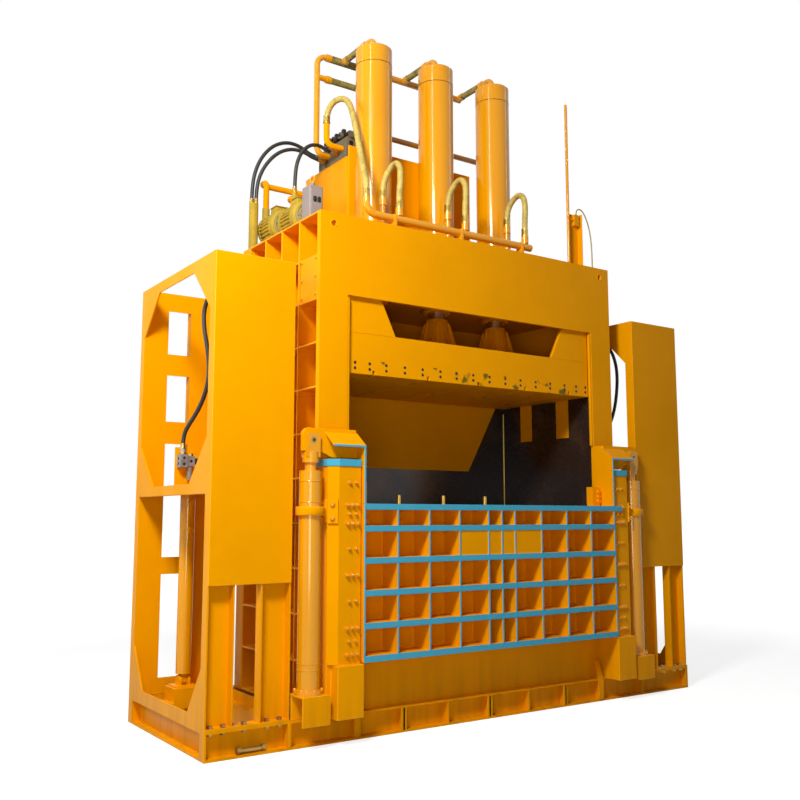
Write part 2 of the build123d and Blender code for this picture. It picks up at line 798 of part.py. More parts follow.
# Platen: grooved sole plate, open webs, end ears that guide it, and a ribbed socket under each rod
with BuildPart() as platen:
    plate((-platen_half, platen_half), (platen_front, platen_rear), (platen_bottom, platen_top))
    bays = 2 * (strap_count - 1)
    bay_x = (2 * platen_half - platen_web) / bays
    bay_y = (platen_rear - platen_front - platen_web) / 3
    with Locations((0, (platen_front + platen_rear) / 2, (platen_bottom + platen_plate + platen_top) / 2)):
        with GridLocations(bay_x, 2 * bay_y, bays, 2):
            Box(bay_x - platen_web, bay_y - platen_web, platen_h - platen_plate, mode=Mode.SUBTRACT)
    with BuildSketch(front_plane(platen_rear)):
        with Locations((0, platen_bottom + strap_deep / 2)):
            with GridLocations(strap_pitch, 1, strap_count, 1):
                Rectangle(strap_w, strap_deep)
    extrude(amount=platen_rear - platen_front, mode=Mode.SUBTRACT)
    with BuildSketch(front_plane(platen_front + platen_web), front_plane(platen_rear)):
        with BuildLine():
            Polyline((platen_half, platen_top), (platen_half, ear_top),
                     (platen_half - ear_w + ear_slope, ear_top), (platen_half - ear_w, platen_top), close=True)
        make_face()
        mirror(about=Plane.YZ)
    extrude(amount=platen_web)
    for side in (-1, 1):
        plate((side * platen_half, side * (platen_half - platen_web)), (platen_front, platen_rear),
              (platen_top, ear_top))
    for _, x in ram_places:
        with Locations((x, press_y, (platen_top + socket_top) / 2)):
            Cone(socket_low_r - socket_rib, socket_high_r - socket_rib_top, socket_top - platen_top)
        for turn in range(socket_ribs):
            along, across = cos(2 * pi * turn / socket_ribs), sin(2 * pi * turn / socket_ribs)
            rib_plane = Plane(origin=(x, press_y, 0), x_dir=(along, across, 0), z_dir=(across, -along, 0))
            with BuildSketch(rib_plane):
                with BuildLine():
                    Polyline((0, platen_top), (socket_low_r, platen_top),
                             (socket_low_r, platen_top + socket_rib_edge), (socket_high_r, socket_top),
                             (0, socket_top), close=True)
                make_face()
            extrude(amount=rib_t / 2, both=True)
save(platen, "platen")

# Position rod: stands on a bracket behind the platen's ear and slides up through the deck
boss_low = ear_top - gauge_boss_h
with BuildPart() as position_rod:
    upright(gauge_x, gauge_y, (ear_top, gauge_top), gauge_d / 2)
    plate((gauge_x - gauge_plate_w / 2, gauge_x + gauge_plate_w / 2),
          (platen_front + platen_web, gauge_y + gauge_plate_back), (boss_low - gauge_plate_t, boss_low))
    upright(gauge_x, gauge_y, (boss_low, ear_top), gauge_d / 2 + gauge_boss)
save(position_rod, "position_rod")

# Lift door: one welded lattice of rails and ribs on a skin, with studs along its top.
# The middle cells of the upper full row are plated over, so they are only a shallow recess.
rail_low = door_bottom + door_rail / 2
rail_high = door_top - door_rail / 2
row_pitch = (rail_high - narrow_row - rail_low) / door_rows
rails_z = [rail_low + row * row_pitch for row in range(door_rows + 1)] + [rail_high]
col_pitch = (door_half - side_plate_t / 2 - middle_col) / door_cols
half_ribs = [middle_col + col * col_pitch for col in range(door_cols + 1)]
ribs_x = [-x for x in reversed(half_ribs)] + [0.0] + half_ribs
deep_cells = []
flush_cells = []
for row, (low, high) in enumerate(zip(rails_z, rails_z[1:])):
    for left, right in zip(ribs_x, ribs_x[1:]):
        plated = row == door_rows - 1 and abs(left + right) < 2 * half_ribs[1]
        (flush_cells if plated else deep_cells).append((left, right, low, high))
with BuildPart() as door:
    plate((-door_half, door_half), (door_front, door_back), (door_bottom, door_top))
    for cells, deep in ((deep_cells, door_depth - door_skin), (flush_cells, flush_deep)):
        with BuildSketch(front_plane(door_front)):
            for left, right, low, high in cells:
                with Locations(((left + right) / 2, (low + high) / 2)):
                    Rectangle(right - left - door_rib, high - low - door_rail)
        extrude(amount=-deep, mode=Mode.SUBTRACT)
    plate((door_half, door_half + rail_tail), (door_front, door_front + tail_t),
          (door_top - door_rail, door_top))
    for stud in range(stud_count):
        stud_x = -stud_shift - stud * stud_pitch
        upright(stud_x, door_back - stud_d, (door_top, door_top + stud_h), stud_d / 2)
save(door, "door")

# Lift arms: the door's side plate carried up past the post, an ear for the lift pin and a sloped cap plate
arm_low = post_top + post_cap_t + arm_clear
ear_back = lift_y + ear_t / 2
slope_end = ear_back - cap_flat
slope_low = side_plate_top - slope_drop
for name, side in SIDES:
    with BuildPart() as arm:
        with BuildSketch(end_plane(side * door_half)):
            with BuildLine():
                Polyline((door_front, door_top), (door_back, door_top), (door_back, side_plate_top),
                         (slope_end, side_plate_top), (door_front, slope_low), close=True)
            make_face()
        extrude(amount=-side * side_plate_t)
        with BuildSketch(front_plane(ear_back)):
            with BuildLine():
                Polyline((side * door_half, arm_low), (side * door_half, side_plate_top),
                         (side * (lift_x + ear_reach), side_plate_top),
                         (side * (lift_x + ear_reach), pin_z - ear_drop),
                         (side * (lift_x - ear_reach), pin_z - ear_drop),
                         (side * (lift_x - ear_reach - ear_neck), arm_low), close=True)
            make_face()
            outer_corner = vertices().group_by(Axis.Y)[-1].sort_by(lambda v: abs(v.X))[-1]
            fillet(outer_corner, ear_corner)
            with Locations((side * lift_x, pin_z)):
                Circle(pin_d / 2 + fit, mode=Mode.SUBTRACT)
        extrude(amount=ear_t)
        with BuildSketch(end_plane(side * door_half)):
            with BuildLine():
                Polyline((door_front, slope_low), (slope_end, side_plate_top), (ear_back, side_plate_top),
                         (ear_back, side_plate_top - cap_plate_t), (slope_end, side_plate_top - cap_plate_t),
                         (door_front, slope_low - cap_plate_t), close=True)
            make_face()
        extrude(amount=side * (lift_x - cap_short - door_half))
    save(arm, f"door_arm_{name}")

# Corner blocks: bolted stops on the door's top rail, against the side plates
block_front = door_back - block_back - block_deep
with BuildPart() as corner_blocks:
    for side in (-1, 1):
        x_side = side * (door_half - side_plate_t)
        plate((x_side - side * block_w, x_side), (block_front, block_front + block_deep),
              (door_top, door_top + block_h))
        with BuildSketch(front_plane(block_front)):
            with Locations((x_side - side * block_w / 3, door_top + block_h / 2)):
                with GridLocations(1, block_h / (block_bolts + 1), 1, block_bolts):
                    RegularPolygon(block_bolt_r, 6)
        extrude(amount=block_bolt_h)
save(corner_blocks, "corner_blocks")

# Guide posts: a folded hollow section with a chamfered outer corner, and a cap plate welded on top
post_face = post_in + post_w
for name, side in SIDES:
    with BuildPart() as guide_post:
        with BuildSketch(Plane.XY.offset(foot_top)):
            with BuildLine():
                Polyline((side * post_in, portal_front), (side * post_in, post_front),
                         (side * post_face, post_front), (side * post_out, post_front + post_chamfer),
                         (side * post_out, portal_front), close=True)
            make_face()
            offset(amount=-post_wall, mode=Mode.SUBTRACT)
        extrude(amount=post_top - foot_top)
        with BuildSketch(Plane.XY.offset(post_top)):
            with BuildLine():
                Polyline((side * post_in, portal_front), (side * post_in, post_front - cap_lip),
                         (side * post_face, post_front - cap_lip),
                         (side * (post_out + cap_lip), post_front + post_chamfer),
                         (side * (post_out + cap_lip), portal_front), close=True)
            make_face()
        extrude(amount=post_cap_t)
    save(guide_post, f"guide_post_{name}")

# The foot blocks stop under the door, so they step in below its bottom rail
with BuildPart() as foot_blocks:
    for side in (-1, 1):
        foot_edge = post_in - foot_in + foot_w
        plate((side * (post_in - foot_in), side * foot_edge), (portal_front - foot_reach, portal_front),
              (base_h, foot_top))
        plate((side * foot_edge, side * post_out), (post_front + post_chamfer, portal_front),
              (base_h, foot_top))
save(foot_blocks, "foot_blocks")

# Lift cylinder barrels: closed below on a foot flange, with a gland nut at the top
lift_gland_r = lift_rod_d / 2 + fit
for name, side in SIDES:
    with BuildPart() as lift_barrel:
        with BuildSketch(axis_plane(side * lift_x, lift_y)):
            with BuildLine():
                Polyline((0, lift_bottom), (lift_flange_d / 2, lift_bottom),
                         (lift_flange_d / 2, lift_bottom + lift_flange_t),
                         (lift_d / 2, lift_bottom + lift_flange_t), (lift_d / 2, lift_top),
                         (lift_gland_r, lift_top), (lift_gland_r, lift_top - lift_gland),
                         (lift_bore / 2, lift_top - lift_gland), (lift_bore / 2, lift_bottom + lift_gland),
                         (0, lift_bottom + lift_gland), close=True)
            make_face()
        revolve(axis=Axis((side * lift_x, lift_y, 0), (0, 0, 1)))
    save(lift_barrel, f"lift_barrel_{name}")

# Clamps round the barrels, bolted to the posts, and the angle brackets under their feet
bracket_front = door_front + bracket_back
bracket_rear = base_front + bracket_rear_step
with BuildPart() as lift_mounts:
    for side in (-1, 1):
        x_in, x_out = side * post_out, side * (lift_x + lift_flange_d / 2)
        with BuildSketch(Plane.XY.offset(clamp_z - clamp_h / 2)):
            with Locations((side * lift_x, lift_y)):
                Circle(clamp_d / 2)
            with Locations((side * (post_out + lift_x) / 2, lift_y)):
                Rectangle(lift_x - post_out, clamp_arm)
            with Locations((side * lift_x, lift_y)):
                Circle(lift_d / 2 + fit, mode=Mode.SUBTRACT)
        extrude(amount=clamp_h)
        plate((x_in, x_in + side * bracket_t), (lift_y - clamp_foot_w / 2, lift_y + clamp_foot_w / 2),
              (clamp_z - clamp_foot_h / 2, clamp_z + clamp_foot_h / 2))
        plate((x_in, x_out), (bracket_front, portal_front), (lift_bottom - bracket_t, lift_bottom))
        plate((x_in, x_out), (bracket_front, bracket_front + bracket_t), (base_h - bracket_drop, lift_bottom))
        plate((x_in, x_in + side * bracket_t), (post_front + post_chamfer, portal_front),
              (base_h, lift_bottom))
        plate((x_in, x_out), (bracket_rear, bracket_rear + bracket_t), (base_h, lift_bottom))
save(lift_mounts, "lift_mounts")

# Lift rods: piston, rod and a forked end with a round root
lift_rod_low = lift_bottom + lift_gland + lift_piston_clear
for name, side in SIDES:
    axis_x = side * lift_x
    with BuildPart() as lift_rod:
        upright(axis_x, lift_y, (lift_rod_low, fork_low), lift_rod_d / 2)
        upright(axis_x, lift_y, (lift_rod_low, lift_rod_low + lift_piston_h), lift_bore / 2 - piston_gap)
        upright(axis_x, lift_y, (fork_low, fork_low + fork_root_h), lift_rod_d / 2 + fork_root_rim)
        for cheek in (-1, 1):
            cheek_y = lift_y + cheek * (ear_t / 2 + fork_gap)
            plate((axis_x - fork_w / 2, axis_x + fork_w / 2), (cheek_y, cheek_y + cheek * fork_t),
                  (fork_low + fork_root_h / 2, pin_z + fork_w / 2))
        fillet(edges().filter_by(Axis.Y).group_by(Axis.Z)[-1], fork_corner)
        with Locations(Plane(origin=(axis_x, lift_y, pin_z), z_dir=(0, 1, 0))):
            Cylinder(pin_d / 2 + fit, 2 * (ear_t + fork_t), mode=Mode.SUBTRACT)
    save(lift_rod, f"lift_rod_{name}")

pin_l = ear_t + 2 * (fork_gap + fork_t)
pin_head_y = lift_y + (pin_l + pin_head_t) / 2
with BuildPart() as lift_pins:
    for side in (-1, 1):
        with Locations(Plane(origin=(side * lift_x, lift_y, pin_z), z_dir=(0, 1, 0))):
            Cylinder(pin_d / 2, pin_l)
        with Locations(Plane(origin=(side * lift_x, pin_head_y, pin_z), z_dir=(0, 1, 0))):
            Cylinder(pin_d / 2 + pin_head_rim, pin_head_t)
save(lift_pins, "lift_pins")

# Adjusting bolts in the posts, in rows of two and three
post_h = post_top - foot_top
with BuildPart() as post_bolts:
    with BuildSketch(front_plane(post_front)):
        for rows, columns, radius in ((three_rows, three_bolts, bolt_r), (two_rows, two_bolts, small_bolt_r)):
            with Locations(*[(side * (post_in + x), foot_top + share * post_h)
                             for side in (-1, 1) for x in columns for share in rows]):
                RegularPolygon(radius, 6)
    extrude(amount=bolt_h)
save(post_bolts, "post_bolts")

# Side frames: channel posts on foot plates, ties, a shelf, corner gussets and rear cross plates
post_front_y = base_front + panel_t
bay_front = post_front_y + flange_w
bay_rear = base_rear - flange_w
foot_z = base_h + foot_plate_t
gap_in = frame_inner + inner_post_w
gap_out = frame_outer - outer_post_w
bulkhead_y = base_front + bulkhead_back
bulkhead_z = frame_top - tie_h / 2
cross_plates = [(base_h + low, base_h + high) for low, high in low_cross_plates]
cross_plates += [(frame_top - low, frame_top - high) for low, high in high_cross_plates]
gussets = ((base_h + tie_h, foot_gusset, corner_gusset), (shelf_top, shelf_gusset, corner_gusset),
           (frame_top - tie_h, corner_gusset, -corner_gusset))
for name, side in SIDES:
    x_in, x_out = side * frame_inner, side * frame_outer
    gap_x = (side * gap_in, side * gap_out)
    valve_plate_x = (side * valve_x - valve_plate_w / 2, side * valve_x + valve_plate_w / 2)
    with BuildPart() as side_frame:
        with BuildSketch(Plane.XY.offset(base_h)):
            for x_low, width in ((gap_out, outer_post_w), (frame_inner, inner_post_w)):
                for edge, inward in ((post_front_y, 1), (base_rear, -1)):
                    with Locations((side * (x_low + width / 2), edge + inward * flange_w / 2)):
                        Rectangle(width, flange_w)
                    with Locations((side * (x_low + width / 2), edge + inward * recess / 2)):
                        Rectangle(width - 2 * web_t, recess, mode=Mode.SUBTRACT)
        extrude(amount=frame_h)
        plate((x_in, x_out), (base_front, bay_front), (base_h, foot_z))
        plate((x_in, x_out), (bay_rear, base_rear), (base_h, foot_z))
        for face, inward in ((x_out, -side), (x_in, side)):
            sheet = (face, face + inward * frame_plate_t)
            plate(sheet, (bay_front, bay_rear), (frame_top - tie_h, frame_top))
            plate(sheet, (bay_front, bay_rear), (base_h, base_h + tie_h))
            plate(sheet, (bay_front, bay_rear), (shelf_top - shelf_h, shelf_top))
            with BuildSketch(end_plane(face)):
                for y, away in ((bay_front, 1), (bay_rear, -1)):
                    for z, reach, rise in gussets:
                        with BuildLine():
                            Polyline((y, z), (y + away * reach, z), (y, z + rise), close=True)
                        make_face()
            extrude(amount=inward * frame_plate_t)
        plate((x_in, x_out), (bay_front, bay_rear), (shelf_top - frame_plate_t, shelf_top))
        upright(side * side_x, side_y, (shelf_top - 2 * frame_plate_t, shelf_top + frame_plate_t),
                side_rod_d / 2 + rod_hole_gap, Mode.SUBTRACT)
        for span in cross_plates:
            plate(gap_x, (bay_rear, bay_rear + web_t), span)
        for span in ((panel_bottom, panel_bottom + tie_h), (frame_top - tie_h, frame_top)):
            plate(gap_x, (bay_front - web_t, bay_front), span)
        plate(valve_plate_x, (valve_y, valve_y + valve_plate_t), (shelf_top, shelf_top + valve_plate_h))
        plate(valve_plate_x, (valve_y, valve_y + valve_foot), (shelf_top, shelf_top + valve_plate_t))
        lengthwise((x_in, x_in + side * bulkhead_l), bulkhead_y, bulkhead_z, black_hose_d / 2 + collar)
    save(side_frame, f"side_frame_{name}")

with BuildPart() as side_panels:
    for side in (-1, 1):
        plate((side * frame_inner, side * frame_outer), (base_front, post_front_y), (panel_bottom, frame_top))
save(side_panels, "side_panels")

# Bolts through the outrigger flanges, above and below, and the drawbolt that lies in the front channel
bolts_x = [frame_inner + x for x in inner_bolts]
bolts_x += [(gap_in + gap_out) / 2, gap_out + outer_bolt_in, frame_outer - outer_bolt_in]
drawbolt_x = -frame_outer + drawbolt_in
drawbolt_y = base_front + drawbolt_back
drawbolt_z = flange_t + drawbolt_hex_r
with BuildPart() as base_bolts:
    for level in (foot_z, base_h - flange_t - base_bolt_h):
        with BuildSketch(Plane.XY.offset(level)):
            with Locations(*[(side * x, base_front + base_bolt_back) for side in (-1, 1) for x in bolts_x]):
                RegularPolygon(base_bolt_r, 6)
        extrude(amount=base_bolt_h)
    lengthwise((drawbolt_x - drawbolt_l / 2, drawbolt_x + drawbolt_l / 2), drawbolt_y, drawbolt_z, drawbolt_r)
    for hex_x in (drawbolt_x - drawbolt_l / 2 - drawbolt_hex_t, drawbolt_x + drawbolt_l / 2):
        with BuildSketch(end_plane(hex_x)):
            with Locations((drawbolt_y, drawbolt_z)):
                RegularPolygon(drawbolt_hex_r, 6, major_radius=False)
        extrude(amount=drawbolt_hex_t)
save(base_bolts, "base_bolts")

# Side cylinders: bolted under the shelf, with a lug on the pedestal pin and two hose ports
shelf_under = shelf_top - frame_plate_t
side_gland_r = side_rod_d / 2 + fit
side_rod_low = side_bottom + side_gland + side_piston_clear
for name, side in SIDES:
    axis_x = side * side_x
    with BuildPart() as side_barrel:
        with BuildSketch(axis_plane(axis_x, side_y)):
            with BuildLine():
                Polyline((0, side_bottom), (side_d / 2, side_bottom), (side_d / 2, shelf_under),
                         (side_gland_r, shelf_under), (side_gland_r, shelf_under - side_gland),
                         (side_bore / 2, shelf_under - side_gland), (side_bore / 2, side_bottom + side_gland),
                         (0, side_bottom + side_gland), close=True)
            make_face()
        revolve(axis=Axis((axis_x, side_y, 0), (0, 0, 1)))
        with BuildSketch(Plane.XY.offset(shelf_under - side_flange_t)):
            with Locations((axis_x, side_y)):
                Rectangle(*side_flange)
                Circle(side_d / 2 - side_wall_t / 2, mode=Mode.SUBTRACT)
        extrude(amount=side_flange_t)
        with BuildSketch(end_plane(axis_x - lug_t / 2)):
            with Locations((side_y, lug_z)):
                Circle(lug_r)
            with Locations((side_y, (lug_z + side_bottom) / 2)):
                Rectangle(2 * lug_r, side_bottom - lug_z)
            with Locations((side_y, lug_z)):
                Circle(lug_pin_r + fit, mode=Mode.SUBTRACT)
        extrude(amount=lug_t)
        port_middle = side_y - side_d / 2 - side_port_l / 2 + side_wall_t / 2
        for drop in side_port_drops:
            with Locations(Plane(origin=(axis_x, port_middle, shelf_under - drop), z_dir=(0, -1, 0))):
                Cylinder(side_port_r, side_port_l)
    save(side_barrel, f"side_barrel_{name}")

    with BuildPart() as side_rod:
        upright(axis_x, side_y, (side_rod_low, shelf_top + side_rod_show), side_rod_d / 2)
        upright(axis_x, side_y, (side_rod_low, side_rod_low + side_piston_h), side_bore / 2 - piston_gap)
    save(side_rod, f"side_rod_{name}")

# Shelf valves: a body with a slimmer block beside it and two hose fittings
valve_z = (shelf_top + valve_low, shelf_top + valve_low + valve_h)
valve_port_x = valve_x + valve_split + valve_w / 2
valve_port_y = valve_y - valve_deep / 2
valve_port_top = valve_z[1] + fitting_h - 2 * valve_split
with BuildPart() as shelf_valves:
    for side in (-1, 1):
        joint_x = side * (valve_x + valve_split)
        plate((joint_x, joint_x + side * valve_w), (valve_y - valve_deep, valve_y), valve_z)
        plate((joint_x - side * valve_w, joint_x), (valve_y - block_valve_deep, valve_y),
              (valve_z[0] + block_valve_inset, valve_z[1] - block_valve_inset))
        upright(side * valve_port_x, valve_port_y, (valve_port_top - fitting_h, valve_port_top), fitting_r)
        upright(joint_x - side * valve_w / 2, valve_y - block_valve_deep / 2,
                (shelf_top + drain_low, shelf_top + drain_low + drain_h), fitting_r)
save(shelf_valves, "shelf_valves")

# Oil tank: a hollow body that widens upwards at the rear, a taller front plate and two suction pipes
tank_outline = [(tank_front, deck_top), (body_rear, deck_top), (tank_rear, tank_top), (tank_front, tank_top)]
tank_runs = [
    tube([(tank_left, suction_y, suction_z), (suction_x, suction_y, suction_z),
          (suction_x, pump_y, suction_z), (suction_x, pump_y, suction_end)], pipe_d, suction_bend),
    tube([(tank_left, suction_y, suction_z - suction_step), (stand_x, suction_y, suction_z - suction_step),
          (stand_x, stand_y, suction_z - suction_step), (stand_x, stand_y, deck_top)], pipe_d, suction_bend),
]
with BuildPart() as tank:
    with BuildSketch(end_plane(tank_left)):
        with BuildLine():
            Polyline(*tank_outline, close=True)
        make_face()
    extrude(amount=tank_right - tank_left)
    with BuildSketch(end_plane(tank_left + tank_wall)):
        with BuildLine():
            Polyline(*tank_outline, close=True)
        make_face()
        offset(amount=-tank_wall, mode=Mode.REPLACE)
    extrude(amount=tank_right - tank_left - 2 * tank_wall, mode=Mode.SUBTRACT)
    plate((tank_left + manifold_in, tank_right), (tank_front - tank_plate_t, tank_front),
          (deck_top, tank_plate_top))
    add(tank_runs)
    collar_right = tank_left - suction_collar_out + suction_collar_l / 2
    for level in (suction_z, suction_z - suction_step):
        lengthwise((collar_right - suction_collar_l, collar_right), suction_y, level,
                   pipe_d / 2 + suction_collar)
save(tank, "oil_tank")

# Valve manifold: a drilled block on the tank with a row of spool valves on top
manifold_left = tank_left + manifold_in
manifold_x = manifold_left + manifold_w / 2
manifold_y = tank_front + manifold_back + manifold_l / 2
outlet_z = tank_top + outlet_rise
spool_x = manifold_x + spool_shift[0]
spool_y = manifold_y + spool_shift[1]
solenoid_out = (spool_box[0] + solenoid_l) / 2 - solenoid_sink
hose_elbow = tube([(manifold_left, elbow_y, outlet_z), (elbow_x, elbow_y, outlet_z),
                   (elbow_x, elbow_y, elbow_z)], pipe_d, 0.7 * pipe_bend)
with BuildPart() as valve_manifold:
    with Locations((manifold_x, manifold_y, tank_top + manifold_h / 2)):
        Box(manifold_w, manifold_l, manifold_h)
    chamfer(edges().filter_by(Axis.Y), manifold_edge)
    with Locations((spool_x, spool_y, manifold_top + spool_box[2] / 2)):
        with GridLocations(1, spool_pitch, 1, spool_count):
            Box(*spool_box)
    for turn in (-1, 1):
        with Locations(Plane(origin=(spool_x + turn * solenoid_out, spool_y, manifold_top + solenoid_rise),
                             x_dir=(0, 1, 0), z_dir=(1, 0, 0))):
            with GridLocations(spool_pitch, 1, spool_count, 1):
                Cylinder(solenoid_r, solenoid_l)
    add(hose_elbow)
    for back, rise in tail_places:
        lengthwise((manifold_left - tail_l, manifold_left), tank_front + back, tank_top + rise,
                   black_hose_d / 2 + collar)
save(valve_manifold, "valve_manifold")

# Pump motors: stepped barrels with a fan cover, end flange and feet, and a suction neck on each pump
flange_face = motor_l / 3
motor_r = motor_d / 2
with BuildPart() as pump_motors:
    for x, y in motor_places:
        with BuildSketch(Plane(origin=(x, y, motor_z), x_dir=(1, 0, 0), z_dir=(0, 0, 1))):
            with BuildLine():
                Polyline((0, -motor_l / 2), (motor_r - fan_lip - fan_bevel, -motor_l / 2),
                         (motor_r - fan_lip, -motor_l / 2 + fan_bevel), (motor_r - fan_lip, -motor_l / 4),
                         (motor_r - motor_body_step, -motor_l / 4), (motor_r - motor_body_step, flange_face),
                         (motor_r, flange_face), (motor_r, flange_face + motor_flange_t),
                         (motor_r / 2, flange_face + motor_flange_t), (motor_r / 2, motor_l / 2),
                         (0, motor_l / 2), close=True)
            make_face()
        revolve(axis=Axis((x, y, motor_z), (0, 1, 0)))
        foot_y = (y - motor_l / 4, y + flange_face)
        for hand in (-1, 1):
            plate((x + hand * motor_foot[0], x + hand * motor_foot[1]), foot_y,
                  (deck_top, deck_top + motor_foot_t))
            plate((x + hand * motor_leg[0], x + hand * motor_leg[1]), foot_y,
                  (deck_top, motor_z - motor_leg_short))
    upright(inlet_x, inlet_y, (motor_z, inlet_top), black_hose_d / 2 + collar)
    upright(suction_x, pump_y, (motor_z, suction_end), pipe_d / 2 + collar)
save(pump_motors, "pump_motors")

# Sleeve at the rear left corner that gathers the pump hoses
with BuildPart() as hose_sleeve:
    upright(-(body_half - sleeve_in), body_rear - sleeve_ahead, (deck_top, sleeve_top), sleeve_r)
save(hose_sleeve, "hose_sleeve")

# Terminal box beside the front motor, with a lifting eye on top
box_x = motor_x + box_shift
box_y = motor_places[0][1] - box_ahead
box_top = deck_top + box_size[2]
with BuildPart() as terminal_box:
    with Locations((box_x, box_y, deck_top + box_size[2] / 2)):
        Box(*box_size)
    fillet(edges().filter_by(Axis.Z), box_corner)
    upright(box_x, box_y, (box_top, box_top + box_eye_h), box_eye_r)
save(terminal_box, "terminal_box")

# Feed manifold along the deck's front edge, with a stub for each arched hose, on saddles
feed_run = tube([(feed_left, feed_y, feed_end_z), (feed_left, feed_y, feed_z),
                 (ram_pitch + stub_dx + feed_right_end, feed_y, feed_z)], feed_d, feed_bend)
with BuildPart() as feed_pipe:
    add(feed_run)
    stubs = ((feed_y, feed_z, stub_top), (feed_y + back_stub_dy, deck_top, back_stub_top))
    for _, x in ram_places:
        for stub_y, foot, top in stubs:
            upright(x + stub_dx, stub_y, (foot, top), hose_d / 2 - stub_neck)
            upright(x + stub_dx, stub_y, (top - stub_nut_h, top), hose_d / 2 + stub_nut)
        plate((x + saddle_dx - saddle_t / 2, x + saddle_dx + saddle_t / 2),
              (feed_y - saddle_w / 2, feed_y + saddle_w / 2), (deck_top, feed_z))
save(feed_pipe, "feed_pipe")

# Cap return manifold: a line back from the top port of each barrel to a pipe across the rear
cap_runs = [tube([(x, press_y, port_top), (x, press_y, return_z), (x, return_y, return_z)], pipe_d, cap_bend)
            for _, x in ram_places]
return_half = ram_pitch + return_pipe_end
with BuildPart() as cap_return:
    add(cap_runs)
    lengthwise((-return_half, return_half), return_y, return_z, pipe_d / 2 + return_pipe_rim)
    for _, x in ram_places:
        for back in return_collars:
            with Locations(Plane(origin=(x, press_y + back, return_z), z_dir=(0, 1, 0))):
                Cylinder(pipe_d / 2 + pipe_collar, collar_l)
save(cap_return, "cap_return")

# Riser from the manifold to the cap return, and the low return pipe that branches from it
riser_runs = [
    tube([(manifold_left, return_y, outlet_z), (riser_x, return_y, outlet_z), (riser_x, return_y, return_z),
          (-return_half, return_y, return_z)], pipe_d, pipe_bend),
    tube([(riser_x, return_y, tee_z), (drop_x, return_y, tee_z), (drop_x, return_y, low_pipe_z),
          (low_pipe_right, return_y, low_pipe_z), (low_pipe_right, return_y, deck_top)], pipe_d, pipe_bend),
]
with BuildPart() as riser_pipe:
    add(riser_runs)
    for level in (return_z, tee_z):
        lengthwise((riser_x + pipe_bend, riser_x + pipe_bend + collar_l), return_y, level,
                   pipe_d / 2 + pipe_collar)
save(riser_pipe, "riser_pipe")

# Limit switch post beside the position rod: a folded upright with a switch box near its top
sheet_x = (switch_x - switch_post_left, switch_x + switch_post_right)
sheet_y = (gauge_y - switch_front, gauge_y + switch_back)
back_y = gauge_y + switch_back - switch_t
switch_box_top = switch_top - switch_box_drop
with BuildPart() as switch_post:
    plate(sheet_x, (back_y, sheet_y[1]), (deck_top, switch_top))
    plate((sheet_x[1] - switch_t, sheet_x[1]), sheet_y, (deck_top, switch_top))
    plate(sheet_x, sheet_y, (deck_top, deck_top + switch_foot_t))
    plate((switch_x + switch_box_x[0], switch_x + switch_box_x[1]), (gauge_y - switch_box_front, back_y),
          (switch_box_top - switch_box_h, switch_box_top))
    lengthwise((sheet_x[0] - roller_l / 2, sheet_x[0] + roller_l / 2), gauge_y, switch_top - roller_drop,
               roller_r)
    upright(gland_x, gland_y, (deck_top, deck_top + gland_rise), gland_r)
save(switch_post, "switch_post")

# Free hoses. Each route is a short list of points chosen by hand, heights counted from the deck.
cord("main_hose",
     [(elbow_x, elbow_y, elbow_z), (elbow_x, elbow_y, elbow_z + 90), (-918, 172, deck_top + 1263),
      (-890, 66, deck_top + 1267), (-880, -36, deck_top + 1195), (-900, -150, deck_top + 995),
      (-945, -310, deck_top + 675), (-1005, -470, deck_top + 425), (feed_left, feed_y, feed_end_z + 105),
      (feed_left, feed_y, feed_end_z)], hose_d)
for name, x in ram_places:
    cord(f"arch_hose_{name}",
         [(x + stub_dx + dx, feed_y + dy, z) for dx, dy, z in
          ((0, 0, stub_top), (0, 0, stub_top + 120), (15, 4, stub_top + 250), (27, 30, stub_top + 355),
           (33, 90, stub_top + 408), (29, 165, stub_top + 390), (11, 217, stub_top + 315),
           (0, back_stub_dy, back_stub_top + 80), (0, back_stub_dy, back_stub_top))], hose_d)
upper_tail, lower_tail, front_tail = [(manifold_left - tail_l, tank_front + back, tank_top + rise)
                                      for back, rise in tail_places]
cord("pump_hose_upper",
     [upper_tail, (-880, 600, deck_top + 945), (-985, 604, deck_top + 1005), (-1110, 610, deck_top + 1020),
      (-1235, 614, deck_top + 965), (-1335, 616, deck_top + 855), (-1402, 616, deck_top + 715),
      (-1432, 616, deck_top + 555), (-1432, 616, sleeve_top)], black_hose_d)
cord("pump_hose_lower",
     [lower_tail, (-880, 540, deck_top + 895), (-985, 548, deck_top + 940), (-1100, 560, deck_top + 945),
      (-1215, 574, deck_top + 890), (-1310, 588, deck_top + 785), (-1375, 600, deck_top + 655),
      (-1398, 604, deck_top + 515), (-1398, 604, sleeve_top)], black_hose_d)
cord("pump_hose_front",
     [front_tail, (-870, 330, deck_top + 895), (-950, 328, deck_top + 930), (-1040, 325, deck_top + 915),
      (-1120, 322, deck_top + 840), (-1170, inlet_y, deck_top + 725), (inlet_x, inlet_y, deck_top + 590),
      (inlet_x, inlet_y, inlet_top)], black_hose_d)
cord("switch_lead",
     [(switch_x + 15, gauge_y + 10, switch_box_top), (switch_x + 15, gauge_y + 10, switch_box_top + 40),
      (switch_x + 47, gauge_y + 8, switch_top + 60), (switch_x + 97, gauge_y + 5, switch_top + 40),
      (switch_x + 143, gauge_y + 3, switch_top - 35), (switch_x + 175, gauge_y + 2, switch_top - 135),
      (switch_x + 191, gauge_y + 3, switch_top - 235), (gland_x, gland_y, deck_top + 135),
      (gland_x, gland_y, deck_top + gland_rise)], lead_d)
